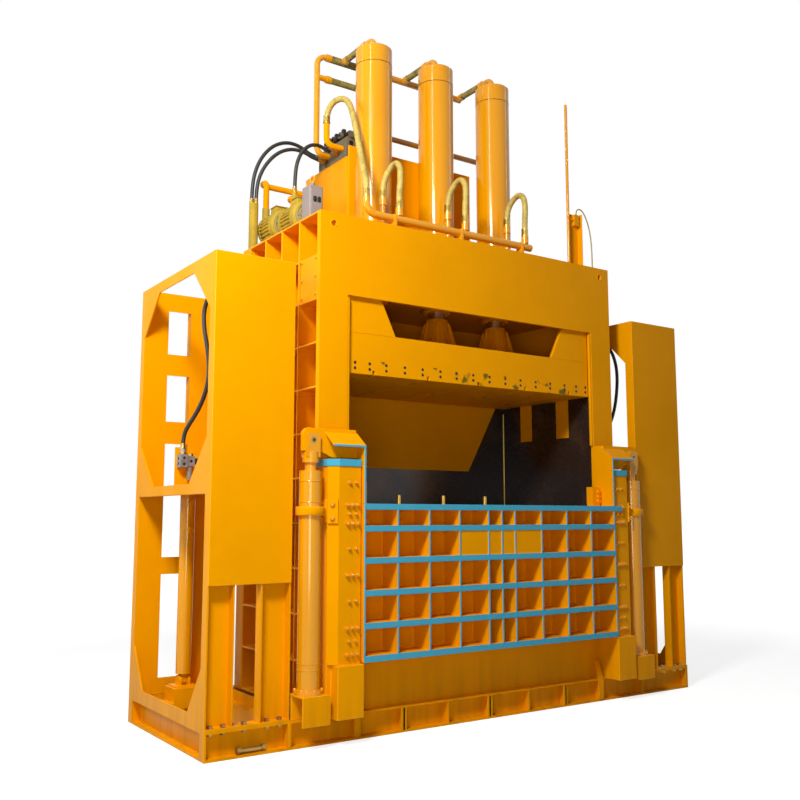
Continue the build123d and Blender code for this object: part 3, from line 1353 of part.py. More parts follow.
for name, side in SIDES:
    cord(f"side_hose_{name}",
         [(side * x, y, z) for x, y, z in
          ((frame_inner + bulkhead_l, bulkhead_y, bulkhead_z), (1830, bulkhead_y, bulkhead_z),
           (1965, -92, frame_top - 60), (2070, -96, frame_top - 140), (2122, -104, frame_top - 270),
           (2122, -116, frame_top - 410), (2098, -126, frame_top - 545), (2076, -122, frame_top - 680),
           (2068, -84, frame_top - 810), (2072, 0, frame_top - 925), (2088, 100, frame_top - 1025),
           (2108, 190, frame_top - 1100), (valve_port_x, valve_port_y, shelf_top + 359),
           (valve_port_x, valve_port_y, valve_port_top))], black_hose_d)
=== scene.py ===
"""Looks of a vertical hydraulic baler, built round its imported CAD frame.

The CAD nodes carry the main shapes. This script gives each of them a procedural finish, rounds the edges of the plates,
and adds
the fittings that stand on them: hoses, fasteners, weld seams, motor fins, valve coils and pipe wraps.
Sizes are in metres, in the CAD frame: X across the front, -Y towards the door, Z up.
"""

from __future__ import annotations

import logging
from dataclasses import dataclass, field
from enum import Enum
from typing import Any, Iterable, Sequence

import bmesh
import bpy
import numpy as np
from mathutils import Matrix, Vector

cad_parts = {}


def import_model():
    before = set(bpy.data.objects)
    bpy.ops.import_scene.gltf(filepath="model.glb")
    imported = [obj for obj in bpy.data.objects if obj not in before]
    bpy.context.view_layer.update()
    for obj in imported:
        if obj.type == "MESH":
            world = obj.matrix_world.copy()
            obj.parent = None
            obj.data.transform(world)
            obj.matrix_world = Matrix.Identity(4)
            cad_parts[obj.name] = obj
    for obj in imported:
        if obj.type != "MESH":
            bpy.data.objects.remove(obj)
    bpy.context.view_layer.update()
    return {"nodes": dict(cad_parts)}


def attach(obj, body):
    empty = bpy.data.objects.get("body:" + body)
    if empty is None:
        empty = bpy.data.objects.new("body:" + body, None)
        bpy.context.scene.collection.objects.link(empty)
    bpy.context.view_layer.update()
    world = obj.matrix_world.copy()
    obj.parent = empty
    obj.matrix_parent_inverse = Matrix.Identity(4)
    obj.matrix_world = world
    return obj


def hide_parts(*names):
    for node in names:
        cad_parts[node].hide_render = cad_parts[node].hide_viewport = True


LOG = logging.getLogger("baler")
Point = tuple[float, float, float]
MM = 0.001
UP: Point = (0.0, 0.0, 1.0)
DOWN: Point = (0.0, 0.0, -1.0)
FORWARD: Point = (0.0, -1.0, 0.0)
LEFT: Point = (-1.0, 0.0, 0.0)
SIDES = (("left", -1), ("right", 1))
RAM_X = (-0.645, 0.0, 0.645)
PRESS_Y = -0.042
DECK = 3.695
BODY_HALF = 1.473  # from the middle to the outer face of a side wall


def linear(hex_code: str) -> tuple[float, float, float, float]:
    """Turn an sRGB hex colour to linear light.

    Args:
        hex_code: six hex digits, with or without a leading '#'.

    Returns:
        Red, green, blue and an alpha of one.
    """
    digits = hex_code.lstrip("#")
    srgb = np.array([int(digits[i:i + 2], 16) for i in (0, 2, 4)]) / 255.0
    low, high = srgb / 12.92, ((srgb + 0.055) / 1.055) ** 2.4
    red, green, blue = np.where(srgb <= 0.04045, low, high)
    return float(red), float(green), float(blue), 1.0


def node(tree: bpy.types.NodeTree, kind: str, inputs: dict[Any, Any] | None = None, **settings: Any) -> bpy.types.Node:
    """Add one node with its settings and links.

    Args:
        tree: the material's node tree.
        kind: the node's class name without the 'ShaderNode' prefix.
        inputs: value or output socket for each input, by name or number.
        settings: attributes of the node itself.

    Returns:
        The new node.
    """
    made = tree.nodes.new("ShaderNode" + kind)
    for name, value in settings.items():
        setattr(made, name, value)
    for name, value in (inputs or {}).items():
        if isinstance(value, bpy.types.NodeSocket):
            tree.links.new(value, made.inputs[name])
        else:
            made.inputs[name].default_value = value
    return made


def blank_material(name: str) -> tuple[bpy.types.Material, bpy.types.NodeTree, bpy.types.Node]:
    """Start a material with one Principled shader.

    Args:
        name: what the real surface is.

    Returns:
        The material, its node tree and the shader.
    """
    material = bpy.data.materials.new(name)
    material.use_nodes = True
    tree = material.node_tree
    tree.nodes.clear()
    shader = node(tree, "BsdfPrincipled")
    node(tree, "OutputMaterial", {"Surface": shader.outputs["BSDF"]})
    return material, tree, shader


@dataclass(frozen=True)
class PaintBand:
    """A band of another coat between two levels along one axis; a patchy one shows only where the noise is high."""

    axis: str
    low: float
    high: float
    colour: str = "46A8C6"
    patchy: bool = False


@dataclass(frozen=True)
class Enamel:
    """Sprayed machine enamel on welded plate.

    To the eye it is an even, deep yellow with a soft gloss. The coat is a little wavy over the plate, thinner and more
    orange in blotches, runs in faint upright streaks, and is dusty brown near the floor.
    """

    name: str = "sprayed_enamel"
    colour: str = "F2A000"
    worn: str = "E09200"
    dust: str = "94650F"
    roughness: float = 0.42
    gloss: float = 0.2
    sheen_tint: str = "FFB43C"  # the coat's own yellow tints what it mirrors
    bands: tuple[PaintBand, ...] = ()
    blotch_mm: float = 650.0
    streak_mm: float = 90.0
    patch_mm: float = 120.0
    wave_mm: float = 450.0
    peel_mm: float = 14.0  # orange peel is about 2 mm, drawn coarse so that it shows
    grime_height: float = 0.55

    def make(self) -> bpy.types.Material:
        """Build the material."""
        material, tree, shader = blank_material(self.name)
        place = node(tree, "TexCoord").outputs["Object"]
        xyz = node(tree, "SeparateXYZ", {0: place})
        blotch = node(tree, "TexNoise", {"Vector": place, "Scale": 1 / (self.blotch_mm * MM), "Detail": 4.0,
                                         "Roughness": 0.6})
        stretched = node(tree, "Mapping", {"Vector": place, "Scale": (1.0, 1.0, 0.08)})
        streak = node(tree, "TexNoise", {"Vector": stretched.outputs[0], "Scale": 1 / (self.streak_mm * MM),
                                         "Detail": 3.0})
        tone = node(tree, "MapRange", {"Value": blotch.outputs["Fac"], "From Min": 0.42, "From Max": 0.78,
                                       "To Max": 0.5})
        run = node(tree, "MapRange", {"Value": streak.outputs["Fac"], "From Min": 0.56, "From Max": 0.8,
                                      "To Max": 0.15})
        worn = node(tree, "Math", {0: tone.outputs[0], 1: run.outputs[0]}, operation="MAXIMUM")
        coat = node(tree, "Mix", {"Factor": worn.outputs[0], "A": linear(self.colour), "B": linear(self.worn)},
                    data_type="RGBA")
        colour = coat.outputs["Result"]
        for band in self.bands:
            colour = self.trimmed(tree, place, xyz.outputs[band.axis], colour, band)
        low = node(tree, "MapRange", {"Value": xyz.outputs["Z"], "From Min": self.grime_height, "From Max": 0.0,
                                      "To Max": 0.45})
        patch = node(tree, "MapRange", {"Value": streak.outputs["Fac"], "From Min": 0.4, "From Max": 0.75})
        grime = node(tree, "Math", {0: low.outputs[0], 1: patch.outputs[0]}, operation="MULTIPLY")
        dirty = node(tree, "Mix", {"Factor": grime.outputs[0], "A": colour, "B": linear(self.dust)}, data_type="RGBA")
        gloss = node(tree, "MapRange", {"Value": blotch.outputs["Fac"], "From Min": 0.3, "From Max": 0.7,
                                        "To Min": self.roughness - 0.06, "To Max": self.roughness + 0.12})
        peel = node(tree, "TexNoise", {"Vector": place, "Scale": 1 / (self.peel_mm * MM), "Detail": 1.0})
        wave = node(tree, "TexNoise", {"Vector": place, "Scale": 1 / (self.wave_mm * MM), "Detail": 1.0})
        fine = node(tree, "Bump", {"Height": peel.outputs["Fac"], "Strength": 0.05, "Distance": 0.004})
        bump = node(tree, "Bump", {"Height": wave.outputs["Fac"], "Strength": 0.1, "Distance": 0.02,
                                   "Normal": fine.outputs[0]})
        shader.inputs["Specular IOR Level"].default_value = self.gloss
        shader.inputs["Specular Tint"].default_value = linear(self.sheen_tint)
        tree.links.new(dirty.outputs["Result"], shader.inputs["Base Color"])
        tree.links.new(gloss.outputs[0], shader.inputs["Roughness"])
        tree.links.new(bump.outputs[0], shader.inputs["Normal"])
        return material

    def trimmed(self, tree: bpy.types.NodeTree, place: bpy.types.NodeSocket, level: bpy.types.NodeSocket,
                colour: bpy.types.NodeSocket, band: PaintBand) -> bpy.types.NodeSocket:
        """Lay one band over the coat.

        Args:
            tree: the material's node tree.
            place: object coordinates.
            level: the coordinate that the band is measured along.
            colour: the coat so far.
            band: what to lay on it.

        Returns:
            The coat with its band.
        """
        above = node(tree, "Math", {0: level, 1: band.low}, operation="GREATER_THAN")
        below = node(tree, "Math", {0: level, 1: band.high}, operation="LESS_THAN")
        inside = node(tree, "Math", {0: above.outputs[0], 1: below.outputs[0]}, operation="MULTIPLY")
        if band.patchy:
            scuff = node(tree, "TexNoise", {"Vector": place, "Scale": 1 / (self.patch_mm * MM), "Detail": 5.0})
            high = node(tree, "MapRange", {"Value": scuff.outputs["Fac"], "From Min": 0.57, "From Max": 0.64})
            inside = node(tree, "Math", {0: inside.outputs[0], 1: high.outputs[0]}, operation="MULTIPLY")
        trim = node(tree, "Mix", {"Factor": inside.outputs[0], "A": colour, "B": linear(band.colour)},
                    data_type="RGBA")
        return trim.outputs["Result"]


@dataclass(frozen=True)
class Metal:
    """Bare, plated or cast metal.

    To the eye it is a hard body that mirrors its surroundings, with grain along one axis that breaks the mirror up, and
    patches where oil, dust or rust dull it.
    """

    name: str
    colour: str
    stain: str
    roughness: float
    stain_share: float
    grain: Point = (1.0, 1.0, 1.0)
    metallic: float = 1.0
    patch_mm: float = 220.0
    grain_mm: float = 9.0  # grinding marks are under 1 mm, drawn coarse so that they show

    def make(self) -> bpy.types.Material:
        """Build the material."""
        material, tree, shader = blank_material(self.name)
        place = node(tree, "TexCoord").outputs["Object"]
        patch = node(tree, "TexNoise", {"Vector": place, "Scale": 1 / (self.patch_mm * MM), "Detail": 6.0,
                                        "Roughness": 0.65})
        stretched = node(tree, "Mapping", {"Vector": place, "Scale": self.grain})
        grain = node(tree, "TexNoise", {"Vector": stretched.outputs[0], "Scale": 1 / (self.grain_mm * MM),
                                        "Detail": 2.0})
        share = node(tree, "MapRange", {"Value": patch.outputs["Fac"], "From Min": 0.48, "From Max": 0.72,
                                        "To Max": self.stain_share})
        skin = node(tree, "Mix", {"Factor": share.outputs[0], "A": linear(self.colour), "B": linear(self.stain)},
                    data_type="RGBA")
        gloss = node(tree, "MapRange", {"Value": grain.outputs["Fac"], "From Min": 0.3, "From Max": 0.7,
                                        "To Min": max(self.roughness - 0.08, 0.03), "To Max": self.roughness + 0.1})
        bump = node(tree, "Bump", {"Height": grain.outputs["Fac"], "Strength": 0.08, "Distance": 0.003})
        shader.inputs["Metallic"].default_value = self.metallic
        tree.links.new(skin.outputs["Result"], shader.inputs["Base Color"])
        tree.links.new(gloss.outputs[0], shader.inputs["Roughness"])
        tree.links.new(bump.outputs[0], shader.inputs["Normal"])
        return material


@dataclass(frozen=True)
class HoseSkin:
    """Hose cover, read from the tube's own map: metres along it and turns round it.

    To the eye it is a dull matt skin whose tape or cloth laps round it in a spiral, darker at each lap's edge, and
    stained with oil in small blots.
    """

    name: str
    colour: str
    edge: str
    roughness: float
    pitch_mm: float
    edge_share: float
    blot_mm: float = 45.0
    blot_share: float = 0.6

    def make(self) -> bpy.types.Material:
        """Build the material."""
        material, tree, shader = blank_material(self.name)
        route = node(tree, "UVMap", uv_map="route")
        uv = node(tree, "SeparateXYZ", {0: route.outputs[0]})
        turns = node(tree, "Math", {0: uv.outputs["X"], 1: 1 / (self.pitch_mm * MM)}, operation="MULTIPLY")
        phase = node(tree, "Math", {0: turns.outputs[0], 1: uv.outputs["Y"]}, operation="SUBTRACT")
        lap = node(tree, "Math", {0: phase.outputs[0]}, operation="FRACT")
        place = node(tree, "TexCoord").outputs["Object"]
        mottle = node(tree, "TexNoise", {"Vector": place, "Scale": 1 / (self.blot_mm * MM), "Detail": 5.0})
        edge = node(tree, "MapRange", {"Value": lap.outputs[0], "From Min": 0.7, "From Max": 1.0,
                                       "To Max": self.edge_share})
        blot = node(tree, "MapRange", {"Value": mottle.outputs["Fac"], "From Min": 0.45, "From Max": 0.72,
                                       "To Max": self.blot_share})
        dark = node(tree, "Math", {0: edge.outputs[0], 1: blot.outputs[0]}, operation="MAXIMUM")
        skin = node(tree, "Mix", {"Factor": dark.outputs[0], "A": linear(self.colour), "B": linear(self.edge)},
                    data_type="RGBA")
        bump = node(tree, "Bump", {"Height": mottle.outputs["Fac"], "Strength": 0.2, "Distance": 0.004})
        shader.inputs["Roughness"].default_value = self.roughness
        tree.links.new(skin.outputs["Result"], shader.inputs["Base Color"])
        tree.links.new(bump.outputs[0], shader.inputs["Normal"])
        return material


RAIL_FACE = PaintBand("Y", -9.0, -0.8565)  # front edges of the door's rails and ribs
POST_CAP = PaintBand("Z", 1.8455, 1.8965)
STRIP_SCUFF = PaintBand("Z", 2.536, 2.640, "6E5E1A", patchy=True)
VALVE_BLOCK = PaintBand("X", -0.7815, 9.0, "6F6550")
VALVE_STAIN = PaintBand("X", -0.7815, 9.0, "3D331F", patchy=True)


class Finish(Enum):
    """The finishes on the machine."""

    ENAMEL = Enamel()
    # lighter than the enamel: a painted highlight along the rounded edges, where light would catch them
    EDGE_HIGHLIGHT = Enamel(name="enamel_edge_highlight", colour="FBB01C", worn="F29C00", roughness=0.34, gloss=0.5)
    DOOR = Enamel(name="enamel_door", bands=(RAIL_FACE,))
    POST = Enamel(name="enamel_post", bands=(POST_CAP,))
    STRIP = Enamel(name="enamel_platen", bands=(STRIP_SCUFF,))
    TUBE = Enamel(name="enamel_tube", colour="E69A00", worn="DA8C00", roughness=0.12, gloss=0.55, sheen_tint="FFF0D0")
    KHAKI = Enamel(name="old_khaki_enamel", colour="B99B33", worn="6E6238", roughness=0.45, blotch_mm=140.0)
    BOX = Enamel(name="grey_box_enamel", colour="9B8F8A", worn="7C6F69", roughness=0.4, sheen_tint="FFFFFF")
    VALVE = Enamel(name="oily_valve_block", bands=(VALVE_BLOCK, VALVE_STAIN))
    LINER = Metal("oiled_wear_plate", "2E2420", "553F30", 0.2, 0.8, metallic=0.2, patch_mm=420.0)
    CHROME = Metal("hard_chrome", "C9CACC", "9A8A60", 0.12, 0.25, grain=(1.0, 1.0, 0.1))
    BOLT = Metal("oiled_bolt_steel", "A58A52", "5A4220", 0.42, 0.7, patch_mm=60.0)
    DARK = Metal("blackened_steel", "241A12", "120C07", 0.5, 0.5, metallic=0.4, patch_mm=60.0)
    CAST = Metal("grey_cast_iron", "8C8F90", "4F4A40", 0.5, 0.7, metallic=0.35, patch_mm=90.0)
    BRASS = Metal("brass_fitting", "B89A4C", "6A5220", 0.35, 0.6, patch_mm=40.0)
    WRAP = HoseSkin("woven_hose_cover", "C6AD52", "7A6226", 0.6, 42.0, 0.25)
    LAGGING = HoseSkin("stained_pipe_wrap", "9C8A3E", "33290F", 0.75, 30.0, 0.6, blot_share=0.95)
    RUBBER = HoseSkin("black_rubber_hose", "1C1B18", "302C24", 0.5, 18.0, 0.4)
    LEAD = HoseSkin("vinyl_lead", "B5A252", "6E5C22", 0.5, 12.0, 0.2)


class Paints:
    """Materials made once each and shared."""

    def __init__(self) -> None:
        """Start with none made."""
        self._made: dict[Finish, bpy.types.Material] = {}

    def __getitem__(self, finish: Finish) -> bpy.types.Material:
        """The material of a finish, made on first use."""
        if finish not in self._made:
            self._made[finish] = finish.value.make()
        return self._made[finish]


@dataclass
class Surface:
    """Vertices and faces gathered from grids, put into one welded mesh at the end."""

    points: list[np.ndarray] = field(default_factory=list)
    faces: list[np.ndarray] = field(default_factory=list)
    uvs: list[np.ndarray] = field(default_factory=list)
    count: int = 0

    def grids(self, points: np.ndarray, uv: np.ndarray | None = None) -> "Surface":
        """Add sheets of quads over grids of points; rows that meet again repeat their first points.

        Args:
            points: array of shape (n, u, v, 3), n grids of one size.
            uv: array of shape (n, u, v, 2), one value for each point.

        Returns:
            The surface itself.
        """
        grids, rows, columns = points.shape[:3]
        index = np.arange(grids * rows * columns).reshape(grids, rows, columns) + self.count
        quads = np.stack([index[:, :-1, :-1], index[:, 1:, :-1], index[:, 1:, 1:], index[:, :-1, 1:]], axis=-1)
        self.points.append(points.reshape(-1, 3))
        self.faces.append(quads.reshape(-1, 4))
        self.uvs.append((np.zeros(points.shape[:3] + (2,)) if uv is None else uv).reshape(-1, 2))
        self.count += grids * rows * columns
        return self

    def copies(self, shape: "Surface", places: Sequence[Point] | np.ndarray) -> "Surface":
        """Add a finished shape at many places, as one array sum of its points and the places.

        Args:
            shape: the shape, round the origin.
            places: array of shape (n, 3).

        Returns:
            The surface itself.
        """
        points, faces, uv = np.concatenate(shape.points), np.concatenate(shape.faces), np.concatenate(shape.uvs)
        places = np.asarray(places, float).reshape(-1, 3)
        shifts = np.arange(len(places))[:, None, None] * len(points) + self.count
        self.points.append((points[None] + places[:, None]).reshape(-1, 3))
        self.faces.append((faces[None] + shifts).reshape(-1, 4))
        self.uvs.append(np.tile(uv, (len(places), 1)))
        self.count += len(places) * len(points)
        return self

    def join(self, *shapes: "Surface") -> "Surface":
        """Add finished shapes where they stand."""
        for shape in shapes:
            self.copies(shape, np.zeros((1, 3)))
        return self

    def piece(self, name: str, material: bpy.types.Material) -> bpy.types.Object:
        """Weld everything into one mesh object at the origin, with its faces turned outwards.

        Args:
            name: the piece's name.
            material: its finish.

        Returns:
            The object, linked to the scene.
        """
        mesh = bpy.data.meshes.new(name)
        mesh.from_pydata(np.concatenate(self.points).tolist(), [], np.concatenate(self.faces).tolist())
        layer = mesh.uv_layers.new(name="route")
        corner = np.empty(len(mesh.loops), dtype=np.int32)
        mesh.loops.foreach_get("vertex_index", corner)
        layer.data.foreach_set("uv", np.concatenate(self.uvs)[corner].astype(np.float32).ravel())
        work = bmesh.new()
        work.from_mesh(mesh)
        bmesh.ops.remove_doubles(work, verts=work.verts, dist=1e-6)
        bmesh.ops.dissolve_degenerate(work, edges=work.edges, dist=1e-7)
        bmesh.ops.recalc_face_normals(work, faces=work.faces)
        work.to_mesh(mesh)
        work.free()
        mesh.polygons.foreach_set("use_smooth", np.ones(len(mesh.polygons), dtype=bool))
        mesh.set_sharp_from_angle(angle=np.radians(38.0))
        mesh.materials.append(material)
        made = bpy.data.objects.new(name, mesh)
        bpy.context.scene.collection.objects.link(made)
        return made


def basis(axis: Sequence[float]) -> tuple[np.ndarray, np.ndarray, np.ndarray]:
    """Two directions square to an axis, and the axis itself.

    Args:
        axis: any direction.

    Returns:
        Three unit vectors, right-handed, the last along the axis.
    """
    along = np.asarray(axis, float) / np.linalg.norm(axis)
    helper = np.array([0.0, 0.0, 1.0]) if abs(along[2]) < 0.9 else np.array([1.0, 0.0, 0.0])
    across = np.cross(helper, along)
    across /= np.linalg.norm(across)
    return across, np.cross(along, across), along


def circle(radius: float, count: int, start: float = 0.0) -> np.ndarray:
    """Places evenly round a level circle: radius times (cos a, sin a, 0).

    Args:
        radius: the circle's radius.
        count: how many places.
        start: the first place's angle in degrees.

    Returns:
        Array of shape (count, 3).
    """
    angle = np.radians(start) + np.arange(count) * 2 * np.pi / count
    return radius * np.stack([np.cos(angle), np.sin(angle), np.zeros(count)], axis=1)


def turned(profile: Sequence[tuple[float, float]], centre: Point = (0.0, 0.0, 0.0), axis: Point = UP,
           steps: int = 24) -> Surface:
    """A surface of revolution: each profile point (radius, height) goes round the axis in equal steps.

    Args:
        profile: radius and height along the axis; it starts and ends on the axis or meets itself.
        centre: where height zero is.
        axis: the axis of revolution.
        steps: points round the axis; six gives a hexagon.

    Returns:
        The closed surface.
    """
    across, beside, along = basis(axis)
    angle = np.linspace(0.0, 2 * np.pi, steps + 1)
    around = np.cos(angle)[:, None] * across + np.sin(angle)[:, None] * beside
    radius, height = np.asarray(profile, float).T
    points = np.asarray(centre) + height[:, None, None] * along + radius[:, None, None] * around[None]
    return Surface().grids(points[None])


def ring(radius: float, minor: float, centre: Point, axis: Point = UP, steps: int = 40) -> Surface:
    """A torus: a small circle of eight points turned round the axis.

    Args:
        radius: from the axis to the middle of the small circle.
        minor: radius of the small circle.
        centre: the torus's middle.
        axis: the axis of revolution.
        steps: points round the axis.

    Returns:
        The closed surface.
    """
    angle = np.linspace(0.0, 2 * np.pi, 9)
    return turned(list(zip(radius + minor * np.cos(angle), minor * np.sin(angle))), centre, axis, steps)


def slab(low: Point, high: Point, edge: float = 0.003) -> Surface:
    """A block with cut edges: eight-sided loops, drawn in by the edge at both ends and closed at their middles.

    Args:
        low: the lowest corner.
        high: the highest corner.
        edge: width of the cut along every edge.

    Returns:
        The closed surface.
    """
    lowest, highest = np.asarray(low, float), np.asarray(high, float)
    half = (highest - lowest) / 2
    level = np.array([-half[2], -half[2], -half[2] + edge, half[2] - edge, half[2], half[2]])
    inset = np.array([edge, edge, 0.0, 0.0, edge, edge])
    shown = np.array([0.0, 1.0, 1.0, 1.0, 1.0, 0.0])
    x, y = (half[0] - inset) * shown, (half[1] - inset) * shown
    cut = edge * shown
    loop_x = np.stack([x, x, x - cut, cut - x, -x, -x, cut - x, x - cut, x], axis=1)
    loop_y = np.stack([cut - y, y - cut, y, y, y - cut, cut - y, -y, -y, cut - y], axis=1)
    loop_z = np.broadcast_to(level[:, None], loop_x.shape)
    points = np.stack([loop_x, loop_y, loop_z], axis=-1) + (lowest + highest) / 2
    return Surface().grids(points[None])


def strap(path: Sequence[Point], across: Point, width: float, thick: float) -> Surface:
    """A flat bar along a line: four corners at plus and minus half the width and half the thickness, ends closed.

    Args:
        path: the bar's centre line.
        across: the way its width lies.
        width: its width.
        thick: its thickness.

    Returns:
        The closed surface.
    """
    line = np.asarray(path, float)
    wide = np.asarray(across, float) / np.linalg.norm(across)
    proud = np.cross(np.gradient(line, axis=0), wide)
    proud *= thick / 2 / np.linalg.norm(proud, axis=1, keepdims=True)
    over = np.array([-1.0, 1.0, 1.0, -1.0, -1.0])[:, None] * wide * width / 2
    corners = line[:, None] + over + np.array([1.0, 1.0, -1.0, -1.0, 1.0])[:, None] * proud[:, None]
    shut = np.broadcast_to(line[[0, -1], None], (2, 5, 3))
    return Surface().grids(np.concatenate([shut[:1], corners, shut[1:]])[None])


def bead(start: Point, end: Point, radius: float = 0.005, ripple_mm: float = 16.0) -> Surface:
    """A fillet weld: a six-sided bar along a line whose radius rises and falls as one minus a raised cosine.

    Args:
        start: one end of the seam.
        end: its other end.
        radius: the bar's largest radius; its middle lies in the corner of the seam.
        ripple_mm: length of one ripple; a real one is about 5 mm, drawn coarse so that it shows.

    Returns:
        The closed surface.
    """
    first, last = np.asarray(start, float), np.asarray(end, float)
    length = float(np.linalg.norm(last - first))
    ripples = max(int(length / (ripple_mm * MM)), 2)
    share = np.linspace(0.0, 1.0, 3 * ripples + 1)
    reach = radius * (0.9 - 0.1 * np.cos(2 * np.pi * ripples * share))
    reach[[0, -1]] = 0.0
    return turned(list(zip(reach, share * length)), start, tuple(last - first), 6)


@dataclass(frozen=True)
class Fastener:
    """A washer, a chamfered hexagon and the end of its stud, all turned round one axis."""

    flats: float
    height: float
    washer: float = 0.0
    stud: float = 0.0

    def shape(self, axis: Point) -> Surface:
        """The fastener with its seat at the origin.

        Args:
            axis: the way it stands.

        Returns:
            The closed shapes as one surface.
        """
        corner = self.flats / np.sqrt(3.0)
        foot = self.washer
        top = foot + self.height
        made = turned([(0.0, foot), (corner, foot), (corner, top - 0.2 * self.height), (0.84 * corner, top),
                       (0.0, top)], axis=axis, steps=6)
        if self.washer:
            brim = 1.18 * corner
            made.join(turned([(0.0, 0.0), (brim, 0.0), (brim, foot), (0.0, foot)], axis=axis, steps=14))
        if self.stud:
            bolt = 0.3 * self.flats
            tip = top + self.stud
            made.join(turned([(0.0, top), (bolt, top), (bolt, tip - 0.002), (bolt - 0.002, tip), (0.0, tip)],
                             axis=axis, steps=10))
        return made


def nurbs_line(points: Sequence[Point], name: str) -> np.ndarray:
    """Points along a smooth NURBS curve whose control points are the route's points.

    Args:
        points: the route.
        name: name of the short-lived curve.

    Returns:
        Array of shape (n, 3), closely spaced along the curve.
    """
    data = bpy.data.curves.new(name, "CURVE")
    data.dimensions = "3D"
    data.resolution_u = 14
    spline = data.splines.new("NURBS")
    spline.points.add(len(points) - 1)
    spline.points.foreach_set("co", np.c_[np.asarray(points, float), np.ones(len(points))].ravel())
    spline.order_u = 3
    spline.use_endpoint_u = True
    holder = bpy.data.objects.new(name, data)
    bpy.context.scene.collection.objects.link(holder)
    line = bpy.data.meshes.new_from_object(holder)
    found = np.empty(len(line.vertices) * 3)
    line.vertices.foreach_get("co", found)
    bpy.data.objects.remove(holder)
    bpy.data.meshes.remove(line)
    bpy.data.curves.remove(data)
    return found.reshape(-1, 3)


def even_line(line: np.ndarray, step: float) -> np.ndarray:
    """The same line with points an even step apart, by interpolation over its length.

    Args:
        line: array of shape (n, 3).
        step: distance between points.

    Returns:
        Array of shape (m, 3).
    """
    walked = np.r_[0.0, np.cumsum(np.linalg.norm(np.diff(line, axis=0), axis=1))]
    wanted = np.linspace(0.0, walked[-1], max(int(walked[-1] / step), 8))
    return np.stack([np.interp(wanted, walked, line[:, i]) for i in range(3)], axis=1)


def tube(line: np.ndarray, radius: float, lap: float, pitch: float, steps: int = 20) -> Surface:
    """A hose cover: circles square to a line, whose radius steps up along a spiral lap.

    The circle's zero direction is square to the plane that the line lies nearest to, so it never twists.

    Args:
        line: the centre line, evenly spaced.
        radius: outside radius.
        lap: height of the spiral step.
        pitch: length of one turn of the spiral.
        steps: points round the circle.

    Returns:
        The tube, drawn in at its ends, with metres along and turns round as its map.
    """
    run = np.gradient(line, axis=0)
    run /= np.linalg.norm(run, axis=1, keepdims=True)
    flat = np.linalg.svd(line - line.mean(axis=0))[2][2]
    beside = np.cross(run, flat)
    beside /= np.linalg.norm(beside, axis=1, keepdims=True)
    up = np.cross(beside, run)
    walked = np.r_[0.0, np.cumsum(np.linalg.norm(np.diff(line, axis=0), axis=1))]
    turns = np.linspace(0.0, 1.0, steps + 1)
    saw = (walked[:, None] / pitch - turns[None]) % 1.0
    reach = radius - lap * (1.0 - saw)
    reach[:, -1] = reach[:, 0]
    angle = 2 * np.pi * turns
    around = np.cos(angle)[None, :, None] * beside[:, None] + np.sin(angle)[None, :, None] * up[:, None]
    around[:, -1] = around[:, 0]
    points = line[:, None] + reach[..., None] * around
    closed = np.concatenate([np.broadcast_to(line[:1, None], points[:1].shape), points,
                             np.broadcast_to(line[-1:, None], points[-1:].shape)])
    uv = np.stack(np.broadcast_arrays(np.r_[0.0, walked, walked[-1]][:, None], turns[None]), axis=-1)
    return Surface().grids(closed[None], uv[None])


@dataclass
class Assembly:
    """A group of pieces that share the paints."""

    paints: Paints

    def fit(self, shape: Surface, name: str, finish: Finish, body: str = "frame",
            slot: str = "enamel") -> bpy.types.Object:
        """Make a piece and let it ride on its body.

        Args:
            shape: its surface.
            name: its name.
            finish: what it wears.
            body: the CAD body that carries it.
            slot: the record's material slot; not used.

        Returns:
            The piece.
        """
        made = shape.piece(name, self.paints[finish])
        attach(made, body)
        LOG.info("%s on %s, %d faces", name, body, len(made.data.polygons))
        return made


class Hose(Enum):
    """Kinds of hose: outside diameter, spiral lap and pitch, finish and slot."""

    WRAPPED = (0.050, 0.0012, 0.042, Finish.WRAP, "wrapped_hose")
    BLACK = (0.032, 0.0008, 0.018, Finish.RUBBER, "black_hose")
    LEAD = (0.012, 0.0002, 0.012, Finish.LEAD, "black_hose")


SIDE_ROUTE: tuple[Point, ...] = (
    (1.733, -0.090, 3.2125), (1.830, -0.090, 3.2125), (1.965, -0.092, 3.190), (2.070, -0.096, 3.110),
    (2.122, -0.104, 2.980), (2.122, -0.116, 2.840), (2.098, -0.126, 2.705), (2.076, -0.122, 2.570),
    (2.068, -0.084, 2.440), (2.072, 0.000, 2.325), (2.088, 0.100, 2.225), (2.108, 0.190, 2.150),
    (2.117, 0.235, 2.080), (2.117, 0.235, 1.996))
ARCH_ROUTE: tuple[Point, ...] = (
    (0.000, 0.000, 0.000), (0.000, 0.000, 0.120), (0.015, 0.004, 0.250), (0.027, 0.030, 0.355), (0.033, 0.090, 0.408),
    (0.029, 0.165, 0.390), (0.011, 0.217, 0.315), (0.000, 0.230, 0.230), (0.000, 0.230, 0.150))


